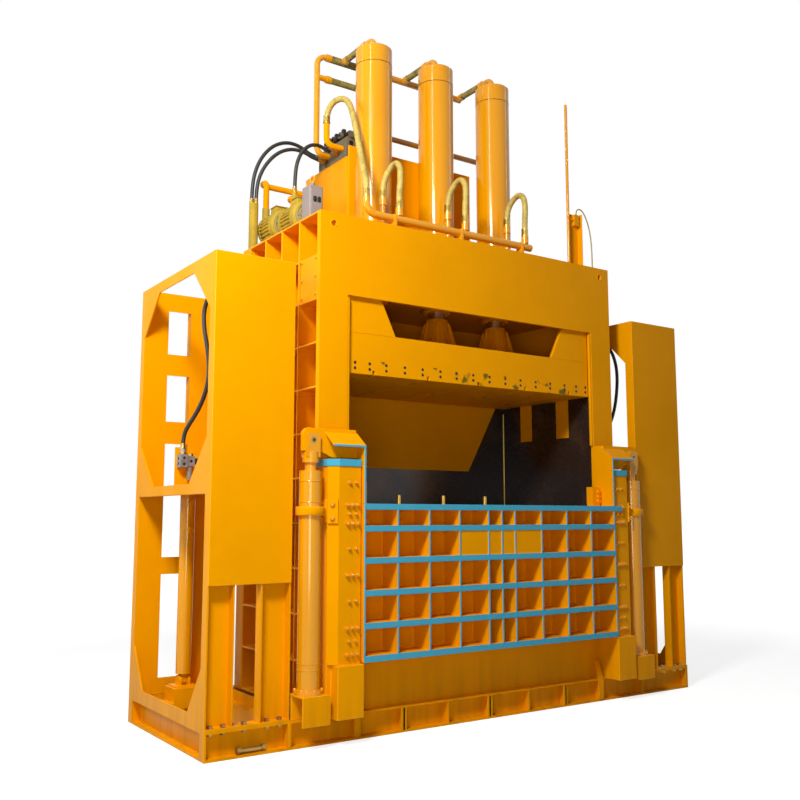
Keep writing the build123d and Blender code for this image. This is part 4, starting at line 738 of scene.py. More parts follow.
@dataclass
class Hoses(Assembly):
    """The free hoses, each with its route as in the part's source and its length along the tube."""

    ferrule_length: float = 0.070
    single: dict[str, tuple[Hose, float, tuple[Point, ...]]] = field(default_factory=lambda: {
        "main_hose": (Hose.WRAPPED, 1.565, (
            (-0.935, 0.240, 4.790), (-0.935, 0.240, 4.880), (-0.918, 0.172, 4.958), (-0.890, 0.066, 4.962),
            (-0.880, -0.036, 4.890), (-0.900, -0.150, 4.690), (-0.945, -0.310, 4.370), (-1.005, -0.470, 4.120),
            (-1.040, -0.560, 4.000), (-1.040, -0.560, 3.895))),
        "pump_hose_upper": (Hose.BLACK, 1.061, (
            (-0.810, 0.600, 4.640), (-0.880, 0.600, 4.640), (-0.985, 0.604, 4.700), (-1.110, 0.610, 4.715),
            (-1.235, 0.614, 4.660), (-1.335, 0.616, 4.550), (-1.402, 0.616, 4.410), (-1.432, 0.616, 4.250),
            (-1.432, 0.616, 4.100))),
        "pump_hose_lower": (Hose.BLACK, 0.961, (
            (-0.810, 0.540, 4.590), (-0.880, 0.540, 4.590), (-0.985, 0.548, 4.635), (-1.100, 0.560, 4.640),
            (-1.215, 0.574, 4.585), (-1.310, 0.588, 4.480), (-1.375, 0.600, 4.350), (-1.398, 0.604, 4.210),
            (-1.398, 0.604, 4.100))),
        "pump_hose_front": (Hose.BLACK, 0.722, (
            (-0.810, 0.330, 4.590), (-0.870, 0.330, 4.590), (-0.950, 0.328, 4.625), (-1.040, 0.325, 4.610),
            (-1.120, 0.322, 4.535), (-1.170, 0.3203, 4.420), (-1.185, 0.3203, 4.285), (-1.185, 0.3203, 4.165))),
        "switch_lead": (Hose.LEAD, 0.659, (
            (1.190, -0.535, 4.175), (1.190, -0.535, 4.215), (1.222, -0.537, 4.245), (1.272, -0.540, 4.225),
            (1.318, -0.542, 4.150), (1.350, -0.543, 4.050), (1.366, -0.542, 3.950), (1.374, -0.540, 3.830),
            (1.374, -0.540, 3.715))),
    })

    def routes(self) -> Iterable[tuple[str, Hose, float, tuple[Point, ...]]]:
        """Every hose with its kind, length and route."""
        for name, (kind, length, route) in self.single.items():
            yield name, kind, length, route
        for name, x in zip(("left", "middle", "right"), RAM_X):
            start = np.array([x - 0.095, -0.560, 3.860])
            yield f"arch_hose_{name}", Hose.WRAPPED, 0.764, tuple(map(tuple, start + np.array(ARCH_ROUTE)))
        for name, side in SIDES:
            yield f"side_hose_{name}", Hose.BLACK, 1.615, tuple((side * x, y, z) for x, y, z in SIDE_ROUTE)

    def ferrules(self, line: np.ndarray, radius: float) -> Surface:
        """Crimped end fittings: a collar and a ridged sleeve turned round each end of the line.

        Args:
            line: the hose's centre line.
            radius: its outside radius.

        Returns:
            Both fittings.
        """
        length = min(self.ferrule_length, 2.6 * radius)
        outer = 1.16 * radius
        heights = np.linspace(0.25, 0.95, 9) * length
        ridges = outer - 0.08 * radius * (np.arange(9) % 2)
        profile = [(0.0, 0.0), (1.04 * outer, 0.0), (1.04 * outer, 0.2 * length), *zip(ridges, heights),
                   (outer, length), (0.9 * radius, 1.02 * length), (0.0, 1.02 * length)]
        made = Surface()
        for end, onward in ((line[0], line[3] - line[0]), (line[-1], line[-4] - line[-1])):
            made.join(turned(profile, tuple(end), tuple(onward), 20))
        return made

    def build(self) -> None:
        for name, kind, length, route in self.routes():
            diameter, lap, pitch, finish, slot = kind.value
            line = even_line(nurbs_line(route, name), min(diameter / 4, 0.006))
            hose = self.fit(tube(line, diameter / 2, lap, pitch), f"{name}_cover", finish, slot=slot)
            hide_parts(name)
            ends = self.fit(self.ferrules(line, diameter / 2), f"{name}_ferrules", Finish.BRASS, slot="bolt_steel")
            route[0]


@dataclass
class Coat(Assembly):
    """Which finish each CAD node wears, and which of them get a rounded edge."""

    nodes: dict[str, bpy.types.Object]
    edge_width: float = 0.004
    named: dict[str, Finish] = field(default_factory=lambda: {
        "door": Finish.DOOR, "door_arm_left": Finish.DOOR, "door_arm_right": Finish.DOOR,
        "guide_post_left": Finish.POST, "guide_post_right": Finish.POST, "platen": Finish.STRIP,
        "side_liners": Finish.LINER, "liner_rear": Finish.LINER, "chamber_floor": Finish.LINER,
        "ram_rods": Finish.CHROME, "side_rod_left": Finish.CHROME, "side_rod_right": Finish.CHROME,
        "lift_pins": Finish.BOLT, "base_bolts": Finish.BOLT, "pump_motors": Finish.KHAKI,
        "shelf_valves": Finish.CAST, "terminal_box": Finish.BOX, "valve_manifold": Finish.VALVE,
        "hose_sleeve": Finish.KHAKI,
    })
    tubes: tuple[str, ...] = ("main_barrel", "lift_barrel", "side_barrel", "feed_pipe", "cap_return", "riser_pipe",
                              "lift_rod", "position_rod")
    plates: tuple[str, ...] = ("base_frame", "front_portal", "left_wall", "right_wall", "rear_wall",
                               "crosshead", "platen", "door", "corner_blocks", "guide_post", "foot_blocks",
                               "lift_mounts", "side_frame", "side_panels", "oil_tank", "switch_post", "shelf_valves")

    def round_edges(self, piece: bpy.types.Object, own: bool) -> None:
        """Weld a node's triangles, join its flat faces and round its edges, all as live modifiers.

        Args:
            piece: the CAD node's object.
            own: the rounded edge keeps the node's finish instead of the lighter edge finish, whose colour is a painted
                highlight.
        """
        weld = piece.modifiers.new("weld", "WELD")
        weld.merge_threshold = 1e-5
        flat = piece.modifiers.new("flat", "DECIMATE")
        flat.decimate_type = "DISSOLVE"
        flat.angle_limit = np.radians(0.5)
        bevel = piece.modifiers.new("edge", "BEVEL")
        bevel.width, bevel.segments, bevel.limit_method = self.edge_width, 2, "ANGLE"
        bevel.angle_limit = np.radians(35.0)
        bevel.harden_normals = True
        if not own:
            # the rounded edge takes the lighter enamel: a painted highlight along it
            piece.data.materials.append(self.paints[Finish.EDGE_HIGHLIGHT])
            bevel.material = 1

    def apply(self) -> None:
        """Put a material on each node and round the plates' edges."""
        for name, piece in self.nodes.items():
            finish = self.named.get(name)
            if finish is None:
                finish = Finish.TUBE if name.startswith(self.tubes) else Finish.ENAMEL
            piece.data.materials.clear()
            piece.data.materials.append(self.paints[finish])
            if name.startswith(self.plates):
                self.round_edges(piece, finish is not Finish.ENAMEL)
            LOG.info("%s wears %s", name, finish.name)


@dataclass
class PressHead(Assembly):
    """Bolts, welds, glands and collars of the three main cylinders."""

    flange_top: float = 3.725
    bolt_circle: float = 0.1615
    port_top: float = 5.420
    cap_joint: float = 5.250
    gland_z: float = 3.240
    socket_z: float = 3.130

    def build(self) -> None:
        """Make the pieces of all three cylinders."""
        foot = Fastener(0.016, 0.010, 0.003).shape(UP)
        cap = Fastener(0.011, 0.007).shape(UP)
        under = Fastener(0.016, 0.009).shape(DOWN)
        bolts, seams, glands, collars, joints = Surface(), Surface(), Surface(), Surface(), Surface()
        for x in RAM_X:
            place = np.array([x, PRESS_Y, 0.0])
            bolts.copies(foot, circle(self.bolt_circle, 12) + place + (0.0, 0.0, self.flange_top))
            bolts.copies(cap, circle(0.036, 4, 45.0) + place + (0.0, 0.0, self.port_top))
            seams.join(ring(0.1525, 0.006, (x, PRESS_Y, self.flange_top), steps=56),
                       ring(0.171, 0.007, (x, PRESS_Y, DECK), steps=56))
            joints.join(ring(0.1525, 0.0016, (x, PRESS_Y, self.cap_joint), steps=56))
            glands.join(turned([(0.072, 0.0), (0.118, 0.0), (0.118, 0.016), (0.110, 0.022), (0.076, 0.022),
                                (0.072, 0.018), (0.072, 0.0)], (x, PRESS_Y, self.gland_z), DOWN, 40))
            glands.copies(under, circle(0.099, 8) + place + (0.0, 0.0, self.gland_z - 0.022))
            collars.join(turned([(0.0712, 0.0), (0.094, 0.0), (0.094, 0.012), (0.089, 0.014), (0.094, 0.016),
                                 (0.094, 0.026), (0.090, 0.030), (0.0712, 0.030), (0.0712, 0.0)],
                                (x, PRESS_Y, self.socket_z), UP, 40))
        self.fit(bolts, "barrel_bolts", Finish.TUBE)
        self.fit(seams, "barrel_welds", Finish.ENAMEL)
        self.fit(joints, "barrel_cap_joints", Finish.DARK)
        self.fit(glands, "rod_glands", Finish.ENAMEL)
        self.fit(collars, "rod_collars", Finish.ENAMEL, "platen")


@dataclass
class PlatenStrip(Assembly):
    """Pairs of sunk screws along the platen's lower front edge, and the weld under its guide ears."""

    front: float = -0.595
    rows: tuple[float, float] = (2.616, 2.575)
    columns: tuple[float, ...] = (-1.153, -1.027, -0.881, -0.713, -0.549, -0.380, -0.221, -0.055, 0.112, 0.278, 0.442,
                                  0.610, 0.774, 0.940, 1.078, 1.189)

    def build(self) -> None:
        """Make the screws and the welds."""
        screw = turned([(0.0, 0.0), (0.0115, 0.0), (0.0115, 0.0010), (0.0100, 0.0016), (0.0060, 0.0006),
                        (0.0, 0.0006)], axis=FORWARD, steps=14)
        x, z = np.meshgrid(self.columns, self.rows)
        places = np.stack([x, np.full_like(x, self.front), z], axis=-1)
        self.fit(Surface().copies(screw, places), "platen_screws", Finish.DARK, "platen", "bolt_steel")
        welds = Surface()
        for side in (-1, 1):
            welds.join(bead((side * 0.797, self.front, 2.840), (side * 1.219, self.front, 2.840), 0.003))
        for x in RAM_X:
            welds.join(ring(0.149, 0.008, (x, PRESS_Y, 2.842), steps=48))
        self.fit(welds, "platen_welds", Finish.ENAMEL, "platen")


@dataclass
class Cells(Assembly):
    """Fillet welds round the backs of the lattice cells of a door or wall."""

    size: float = 0.009

    def loops(self, cells: np.ndarray, level: float, out: float) -> np.ndarray:
        """Closed fillets: each cell's outline four times, on its wall, at the bulge, on its skin and in the corner.

        Args:
            cells: array of shape (n, 4) of low and high u, then low and high v.
            level: depth of the skin.
            out: one or minus one, the way the cell opens.

        Returns:
            Array of shape (n, 5, 5, 3) of u, depth and v.
        """
        inset = self.size * np.array([0.0, 0.66, 1.0, 0.0, 0.0])[None, :, None]
        depth = level + out * self.size * np.array([1.0, 0.66, 0.0, 0.0, 1.0])[None, :, None]
        far_u = np.array([0, 1, 1, 0, 0])[None, None]
        far_v = np.array([0, 0, 1, 1, 0])[None, None]
        u0, u1, v0, v1 = (cells[:, i][:, None, None] for i in range(4))
        u = np.where(far_u, u1 - inset, u0 + inset)
        v = np.where(far_v, v1 - inset, v0 + inset)
        return np.stack(np.broadcast_arrays(u, depth, v), axis=-1)


def lattice(u: Sequence[float], v: Sequence[float], rib_u: float, rib_v: float) -> np.ndarray:
    """The open cells between two sets of ribs.

    Args:
        u: middles of the upright ribs.
        v: middles of the level ribs.
        rib_u: thickness of the upright ribs.
        rib_v: thickness of the level ribs.

    Returns:
        Array of shape (n, 4) of low and high u, then low and high v, row after row.
    """
    low_u, low_v = np.meshgrid(np.asarray(u)[:-1] + rib_u / 2, np.asarray(v)[:-1] + rib_v / 2)
    high_u, high_v = np.meshgrid(np.asarray(u)[1:] - rib_u / 2, np.asarray(v)[1:] - rib_v / 2)
    return np.stack([low_u, high_u, low_v, high_v], axis=-1).reshape(-1, 4)


@dataclass
class Walls(Cells):
    """Welds in the side and rear walls' cells, the hatch screws and the rims of the lifting holes, these with a painted
    highlight.
    """

    rib: float = 0.014

    def build(self) -> None:
        """Make the pieces of all three walls."""
        levels = np.linspace(0.187, 3.688, 12)
        side_cells = lattice(np.linspace(-0.593, 0.539, 5), levels, self.rib, self.rib)
        rear_cells = lattice(np.linspace(-1.466, 1.466, 7), np.linspace(0.187, 3.688, 8), self.rib, self.rib)
        welds = Surface()
        for _, side in SIDES:
            welds.grids(self.loops(side_cells, side * 1.259, side)[..., [1, 0, 2]])
        welds.grids(self.loops(rear_cells, 0.568, 1.0))
        self.fit(welds, "wall_cell_welds", Finish.ENAMEL)
        screw = Fastener(0.017, 0.008, 0.002).shape(LEFT)
        y, z = np.meshgrid((-0.574, -0.369), (3.085, 3.218, 3.350))
        hatch = Surface().copies(screw, np.stack([np.full_like(y, -BODY_HALF), y, z], axis=-1))
        self.fit(hatch, "hatch_screws", Finish.TUBE)
        rims = Surface()
        for _, side in SIDES:
            rims.join(ring(0.0255, 0.003, (side * 1.360, -0.630, 3.612), FORWARD, 32))
        # the rims wear the lighter edge finish: a painted highlight round each lifting hole
        self.fit(rims, "lifting_hole_rims", Finish.EDGE_HIGHLIGHT)


@dataclass
class LiftDoor(Cells):
    """Welds in the door's cells, lugs in its narrow row and rods on its studs."""

    skin: float = -0.660
    rib: float = 0.014
    rail: float = 0.042
    half_ribs: tuple[float, ...] = (0.131, 0.40425, 0.6775, 0.95075, 1.224)
    rails: tuple[float, ...] = (0.553, 0.7705, 0.988, 1.2055, 1.423, 1.572)
    plated_row: int = 3
    studs: tuple[float, ...] = (-0.016, -0.418, -0.820)

    def build(self) -> None:
        """Make the door's pieces."""
        ribs = [-x for x in reversed(self.half_ribs)] + [0.0, *self.half_ribs]
        cells = lattice(ribs, self.rails, self.rib, self.rail).reshape(len(self.rails) - 1, -1, 4)
        middle = np.abs(cells[self.plated_row, :, :2].mean(axis=1)) < self.half_ribs[1]
        shallow = np.zeros(cells.shape[:2], dtype=bool)
        shallow[self.plated_row] = middle
        welds = Surface().grids(self.loops(cells[~shallow], self.skin, -1.0))
        self.fit(welds, "door_cell_welds", Finish.DOOR, "door", "door_enamel")
        wide = cells[-1][~middle | (np.diff(cells[-1][:, :2], axis=1)[:, 0] > 0.2)]
        lug = slab((0.0, -0.075, 0.0), (0.115, 0.0, 0.046), 0.004)
        places = np.stack([wide[:, 0], np.full(len(wide), self.skin), wide[:, 2]], axis=1)
        self.fit(Surface().copies(lug, places), "door_lugs", Finish.DOOR, "door", "door_enamel")
        sleeve = turned([(0.0, 0.0), (0.0155, 0.0), (0.0155, 0.066), (0.0125, 0.0685), (0.0, 0.0685)], steps=20)
        self.fit(Surface().copies(sleeve, [(x, -0.670, 1.593) for x in self.studs]), "door_stud_rods", Finish.BRASS,
                 "door", "bolt_steel")


@dataclass
class GuidePosts(Assembly):
    """Adjusting bolts in the posts, and the bolts and rings of the lift cylinders, with a dark disc as painted shade in
    each pin hole.
    """

    post_in: float = 1.239
    post_front: float = -0.827
    foot_top: float = 0.526
    post_h: float = 1.319
    axis_x: float = 1.580
    axis_y: float = -0.725
    three: tuple[tuple[float, ...], tuple[float, ...]] = ((0.032, 0.072, 0.112), (0.050, 0.180, 0.445, 0.707, 0.802))
    two: tuple[tuple[float, ...], tuple[float, ...]] = ((0.044, 0.096), (0.116, 0.315, 0.579, 0.756, 0.917))

    def build(self) -> None:
        """Make the pieces of both posts."""
        heads, bolts, rings, holes, welds, plates = (Surface() for _ in range(6))
        for rows, fastener in ((self.three, Fastener(0.026, 0.013, 0.004, 0.011)),
                               (self.two, Fastener(0.022, 0.011, 0.003, 0.009))):
            across, share = np.meshgrid(*rows)
            for _, side in SIDES:
                places = np.stack([side * (self.post_in + across), np.full_like(across, self.post_front),
                                   self.foot_top + share * self.post_h], axis=-1)
                heads.copies(fastener.shape(FORWARD), places)
        flange = Fastener(0.015, 0.010, 0.002).shape(UP)
        # a thin dark disc: painted shade standing in for the inside of a pin hole
        dot = turned([(0.0, 0.0), (0.010, 0.0), (0.010, 0.0008), (0.0, 0.0008)], axis=FORWARD, steps=16)
        for _, side in SIDES:
            x = side * self.axis_x
            outward = Fastener(0.024, 0.012, 0.003).shape((float(side), 0.0, 0.0))
            bolts.copies(outward, [(side * 1.486, self.axis_y, 1.542 + rise) for rise in (-0.052, 0.052)])
            bolts.copies(outward, [(side * 1.472, -0.700, z) for z in (0.390, 0.450)])
            bolts.copies(flange, circle(0.0885, 6, 30.0) + (x, self.axis_y, 0.375))
            slope = np.array([side, -1.0, 0.0]) / np.sqrt(2.0)
            middle = np.array([side * 1.444, -0.799, 1.542]) + 0.007 * slope
            plates.join(strap([middle - (0.0, 0.0, 0.082), middle + (0.0, 0.0, 0.082)], (side, 1.0, 0.0), 0.074, 0.014))
            bolts.copies(Fastener(0.030, 0.012, 0.004).shape(tuple(slope)),
                         [middle + 0.007 * slope + (0.0, 0.0, rise) for rise in (-0.046, 0.046)])
            rings.join(*(ring(0.0765, 0.0035, (x, self.axis_y, z)) for z in (1.600, 1.740, 0.545, 0.505)))
            rings.join(ring(0.0765, 0.006, (x, self.axis_y, 0.376)))
            holes.copies(dot, [(x, self.axis_y - 0.045, 2.020)])
            welds.join(bead((side * BODY_HALF, -0.631, 0.530), (side * BODY_HALF, -0.631, 1.843)),
                       bead((side * 1.241, -0.828, 1.844), (side * 1.414, -0.828, 1.844), 0.004),
                       bead((side * 1.241, -0.828, 0.527), (side * 1.414, -0.828, 0.527), 0.004))
        posts = self.fit(heads, "post_bolt_heads", Finish.TUBE)
        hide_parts("post_bolts")
        self.fit(plates, "clamp_plates", Finish.ENAMEL)
        self.fit(bolts, "lift_mount_bolts", Finish.TUBE)
        self.fit(rings, "lift_barrel_rings", Finish.TUBE)
        # the pin holes are dark discs: painted shade
        self.fit(holes, "lift_pin_hole_shade", Finish.DARK, "door", "bolt_steel")
        self.fit(welds, "post_welds", Finish.ENAMEL)


@dataclass
class SideFrames(Assembly):
    """Fittings of the shelf valves, flange bolts of the side cylinders and welds of the frames."""

    inner: float = 1.693
    outer: float = 2.283
    axis_x: float = 2.005
    axis_y: float = 0.390
    shelf: float = 1.721

    def build(self) -> None:
        """Make the pieces of both frames."""
        nuts, plugs, coils, bolts, welds = Surface(), Surface(), Surface(), Surface(), Surface()
        hexagon = Fastener(0.040, 0.020).shape(UP)
        hanging = Fastener(0.026, 0.014, 0.003).shape(DOWN)
        dot = turned([(0.0, 0.0), (0.011, 0.0), (0.009, 0.0016), (0.0, 0.0010)], axis=FORWARD, steps=14)
        for _, side in SIDES:
            outward = (float(side), 0.0, 0.0)
            disc = turned([(0.0, 0.0), (0.012, 0.0), (0.010, 0.0016), (0.0, 0.0010)], axis=outward, steps=14)
            nuts.copies(hexagon, [(side * 2.117, 0.235, 1.956), (side * 2.057, 0.243, 1.946)])
            plugs.copies(disc, [(side * 2.147, 0.235, z) for z in (1.890, 1.925)])
            plugs.copies(dot, [(side * 2.117, 0.200, 1.885), (side * 2.117, 0.200, 1.930),
                               (side * 2.057, 0.216, 1.908)])
            coils.join(turned([(0.0, 0.0), (0.024, 0.0), (0.024, 0.040), (0.020, 0.046), (0.009, 0.046), (0.009, 0.060),
                               (0.0, 0.060)], (side * 2.027, 0.243, 1.908), (-float(side), 0.0, 0.0)))
            bolts.copies(hanging, [(side * self.axis_x + dx, self.axis_y + dy, 1.687)
                                   for dx in (-0.085, 0.085) for dy in (-0.075, 0.075)])
            x_in, x_out = side * self.inner, side * self.outer
            for z in (0.194, self.shelf):
                welds.join(*(bead((x_in, y, z), (x_out, y, z)) for y in (-0.605, 0.667)))
            for z in (self.shelf - 0.068, 0.255, 3.175):
                welds.join(bead((x_out - side * 0.005, -0.604, z), (x_out - side * 0.005, 0.666, z), 0.005))
            for dx in (-0.1, 0.1):
                x = side * self.axis_x + dx
                welds.join(bead((x, 0.290, 0.180), (x, 0.490, 0.180), 0.006))
        self.fit(nuts, "shelf_valve_nuts", Finish.BRASS, slot="bolt_steel")
        self.fit(plugs, "shelf_valve_plugs", Finish.DARK, slot="bolt_steel")
        self.fit(coils, "shelf_valve_coils", Finish.DARK, slot="grey_enamel")
        self.fit(bolts, "side_flange_bolts", Finish.TUBE)
        self.fit(welds, "frame_welds", Finish.ENAMEL)


@dataclass
class DeckGear(Assembly):
    """What dresses the pumps, valve block, tank and pipes on the deck."""

    motors: tuple[Point, ...] = ((-1.185, 0.215, 3.885), (-1.225, 0.510, 3.885))
    fins: int = 30
    fin_root: float = 0.128
    fin_tip: float = 0.142
    spool_x: float = -0.610
    spools_y: tuple[float, ...] = (0.3265, 0.4465, 0.5665)
    return_y: float = 0.470

    def finned(self) -> Surface:
        """A ribbed casing: the radius goes between root and tip by a clipped sine of the angle, carried along Y.

        Returns:
            The casing round the origin, closed at both ends.
        """
        angle = np.linspace(0.0, 2 * np.pi, 8 * self.fins + 1)
        tooth = np.clip(2.5 * np.sin(self.fins * angle), -1.0, 1.0)
        reach = (self.fin_root + self.fin_tip) / 2 + tooth * (self.fin_tip - self.fin_root) / 2
        scale = np.array([0.0, 1.0, 1.0, 0.0])[:, None]
        along = np.array([-0.066, -0.066, 0.090, 0.090])[:, None]
        points = np.stack(np.broadcast_arrays(scale * reach * np.cos(angle), along, scale * reach * np.sin(angle)),
                          axis=-1)
        return Surface().grids(points[None])

    def pumps(self) -> None:
        """Fins, fan guards, terminal boxes and the lifting eye."""
        casing, guards, boxes = Surface().copies(self.finned(), self.motors), Surface(), Surface()
        lid = Fastener(0.009, 0.004).shape(UP)
        for x, y, z in self.motors:
            guards.join(*(ring(r, 0.004, (x, y - 0.141, z), FORWARD, 32) for r in (0.030, 0.055, 0.080, 0.105)))
            guards.join(*(slab((x - a, y - 0.144, z - b), (x + a, y - 0.139, z + b), 0.001)
                          for a, b in ((0.108, 0.004), (0.004, 0.108))))
            boxes.join(slab((x - 0.055, y - 0.045, z + 0.120), (x + 0.055, y + 0.055, z + 0.180), 0.005),
                       slab((x - 0.060, y - 0.050, z + 0.180), (x + 0.060, y + 0.060, z + 0.190), 0.003))
            boxes.copies(lid, [(x + dx, y + 0.005 + dy, z + 0.190) for dx in (-0.048, 0.048) for dy in (-0.043, 0.043)])
        self.fit(casing, "motor_fins", Finish.KHAKI, slot="grey_enamel")
        self.fit(guards, "fan_guards", Finish.CAST, slot="grey_enamel")
        self.fit(boxes, "motor_terminal_boxes", Finish.KHAKI, slot="grey_enamel")
        cover = slab((-1.250, -0.080, 3.720), (-1.150, -0.074, 4.075), 0.002)
        sockets = Surface().join(*(slab((x, -0.092, 3.965), (x + 0.026, -0.079, 4.005), 0.003)
                                   for x in (-1.232, -1.194)))
        screws = Fastener(0.008, 0.003).shape(FORWARD)
        cover.copies(screws, [(x, -0.080, z) for x in (-1.242, -1.158) for z in (3.728, 4.066)])
        self.fit(cover, "terminal_box_cover", Finish.BOX, slot="grey_enamel")
        self.fit(sockets, "terminal_box_sockets", Finish.DARK, slot="grey_enamel")
        self.fit(ring(0.030, 0.008, (-1.200, -0.010, 4.160), LEFT), "terminal_box_eye", Finish.TUBE)

    def valves(self) -> None:
        """Coils, plugs and screws of the valve block."""
        coils, plugs, screws = Surface(), Surface(), Surface()
        flat = Fastener(0.012, 0.006).shape(UP)
        for y in self.spools_y:
            for turn in (-1.0, 1.0):
                x = self.spool_x + turn * 0.080
                coils.join(turned([(0.0, 0.0), (0.036, 0.0), (0.036, 0.046), (0.032, 0.050), (0.012, 0.050),
                                   (0.012, 0.078), (0.0, 0.078)], (x, y, 4.760), (turn, 0.0, 0.0)))
                near, far = sorted((x + turn * 0.010, x + turn * 0.042))
                coils.join(slab((near, y - 0.016, 4.790), (far, y + 0.016, 4.822), 0.003))
            screws.copies(flat, [(self.spool_x + dx, y + dy, 4.810)
                                 for dx in (-0.055, 0.055) for dy in (-0.028, 0.028)])
        for x, z in ((-0.735, 4.560), (-0.735, 4.645), (-0.650, 4.560), (-0.650, 4.645), (-0.560, 4.600)):
            plugs.join(turned([(0.0, 0.0), (0.021, 0.0), (0.021, 0.004), (0.014, 0.006), (0.012, 0.003), (0.0, 0.003)],
                              (x, 0.1715, z), FORWARD, 18))
        self.fit(coils, "valve_coils", Finish.DARK, slot="grey_enamel")
        self.fit(plugs, "valve_block_plugs", Finish.DARK, slot="bolt_steel")
        self.fit(screws, "valve_screws", Finish.BOLT, slot="bolt_steel")

    def tank(self) -> None:
        """Cleaning lid with its bolts, breather and edge welds of the oil tank."""
        lid = slab((-0.330, 0.250, 4.505), (0.330, 0.700, 4.517), 0.004)
        x, y = np.meshgrid(np.linspace(-0.305, 0.305, 6), (0.275, 0.675))
        lid.copies(Fastener(0.019, 0.010, 0.002).shape(UP), np.stack([x, y, np.full_like(x, 4.517)], axis=-1))
        lid.join(turned([(0.0, 0.0), (0.030, 0.0), (0.030, 0.035), (0.052, 0.040), (0.052, 0.075), (0.044, 0.084),
                         (0.0, 0.086)], (0.420, 0.480, 4.505)))
        self.fit(lid, "tank_lid", Finish.TUBE)
        seams = Surface()
        for end in (-0.790, 0.510):
            seams.join(bead((end, 0.1465, 3.700), (end, 0.1465, 4.500)), bead((end, 0.150, 4.505), (end, 0.853, 4.505)),
                       bead((end, 0.662, 3.700), (end, 0.854, 4.500)))
        seams.join(bead((-0.780, 0.130, 3.697), (0.508, 0.130, 3.697)),
                   bead((-0.788, 0.667, 3.697), (0.508, 0.667, 3.697)))
        self.fit(seams, "tank_welds", Finish.ENAMEL)

    def pipes(self) -> None:
        """Stained wraps on the return pipes and straps over the feed pipe's saddles."""
        runs = [((x, 0.135, 5.510), (x, 0.385, 5.510), 0.0285) for x in RAM_X]
        runs += [((-0.765, self.return_y, 5.510), (-0.380, self.return_y, 5.510), 0.0325),
                 ((-0.765, self.return_y, 5.310), (-0.400, self.return_y, 5.310), 0.0285)]
        wraps, straps = Surface(), Surface()
        for start, end, radius in runs:
            wraps.join(tube(np.linspace(start, end, 60), radius, 0.002, 0.030))
        self.fit(wraps, "return_pipe_wraps", Finish.LAGGING, slot="wrapped_hose")
        for x in RAM_X:
            straps.join(ring(0.0315, 0.005, (x - 0.150, -0.560, 3.770), LEFT, 28))
        self.fit(straps, "feed_pipe_straps", Finish.TUBE)

    def build(self) -> None:
        """Make everything on the deck."""
        self.pumps()
        self.valves()
        self.tank()
        self.pipes()


@dataclass
class Portal(Assembly):
    """Strips, stiffener plates and long welds of the portal, base and chamber."""

    base_front: float = -0.690
    stiffeners: tuple[float, ...] = (-0.7867, 0.0, 0.7867)
    gusset_x: float = 1.180
    jamb: float = 1.237
    liner_in: float = 1.225
    liner_front: float = 0.534

    def build(self) -> None:
        """Make the plates, then the welds."""
        plates, corners = Surface(), Surface()
        for x in self.stiffeners:
            plates.join(slab((x - 0.024, self.base_front, 0.012), (x + 0.024, self.base_front + 0.012, 0.168), 0.002))
        runs: list[tuple[Point, Point]] = [
            ((-1.225, -0.631, 0.181), (1.225, -0.631, 0.181)), ((-1.236, -0.600, 3.696), (1.236, -0.600, 3.696)),
            ((-1.690, 0.743, 0.090), (1.690, 0.743, 0.090))]
        for _, side in SIDES:
            x = side * self.gusset_x
            plates.join(strap([(x, -0.654, 0.320), (x, -0.696, 0.178), (x, -0.696, 0.020)], LEFT, 0.052, 0.010),
                        slab((min(side * self.jamb, side * 1.217), -0.626, 2.110),
                             (max(side * self.jamb, side * 1.217), -0.602, 3.085), 0.003))
            corners.join(bead((side * self.liner_in, self.liner_front, 0.535),
                              (side * self.liner_in, self.liner_front, 2.490), 0.007))
            runs += [((side * BODY_HALF, -0.600, 0.185), (side * BODY_HALF, -0.600, 3.690)),
                     ((side * BODY_HALF, 0.546, 0.185), (side * BODY_HALF, 0.546, 3.690)),
                     ((side * 1.693, -0.690, 0.012), (side * 1.693, -0.690, 0.172)),
                     ((x, -0.630, 0.182), (x, -0.630, 0.308))]
        self.fit(plates, "stiffener_plates", Finish.ENAMEL)
        self.fit(corners, "chamber_corner_welds", Finish.BRASS, slot="bolt_steel")
        self.fit(Surface().join(*(bead(start, end) for start, end in runs)), "portal_welds", Finish.ENAMEL)


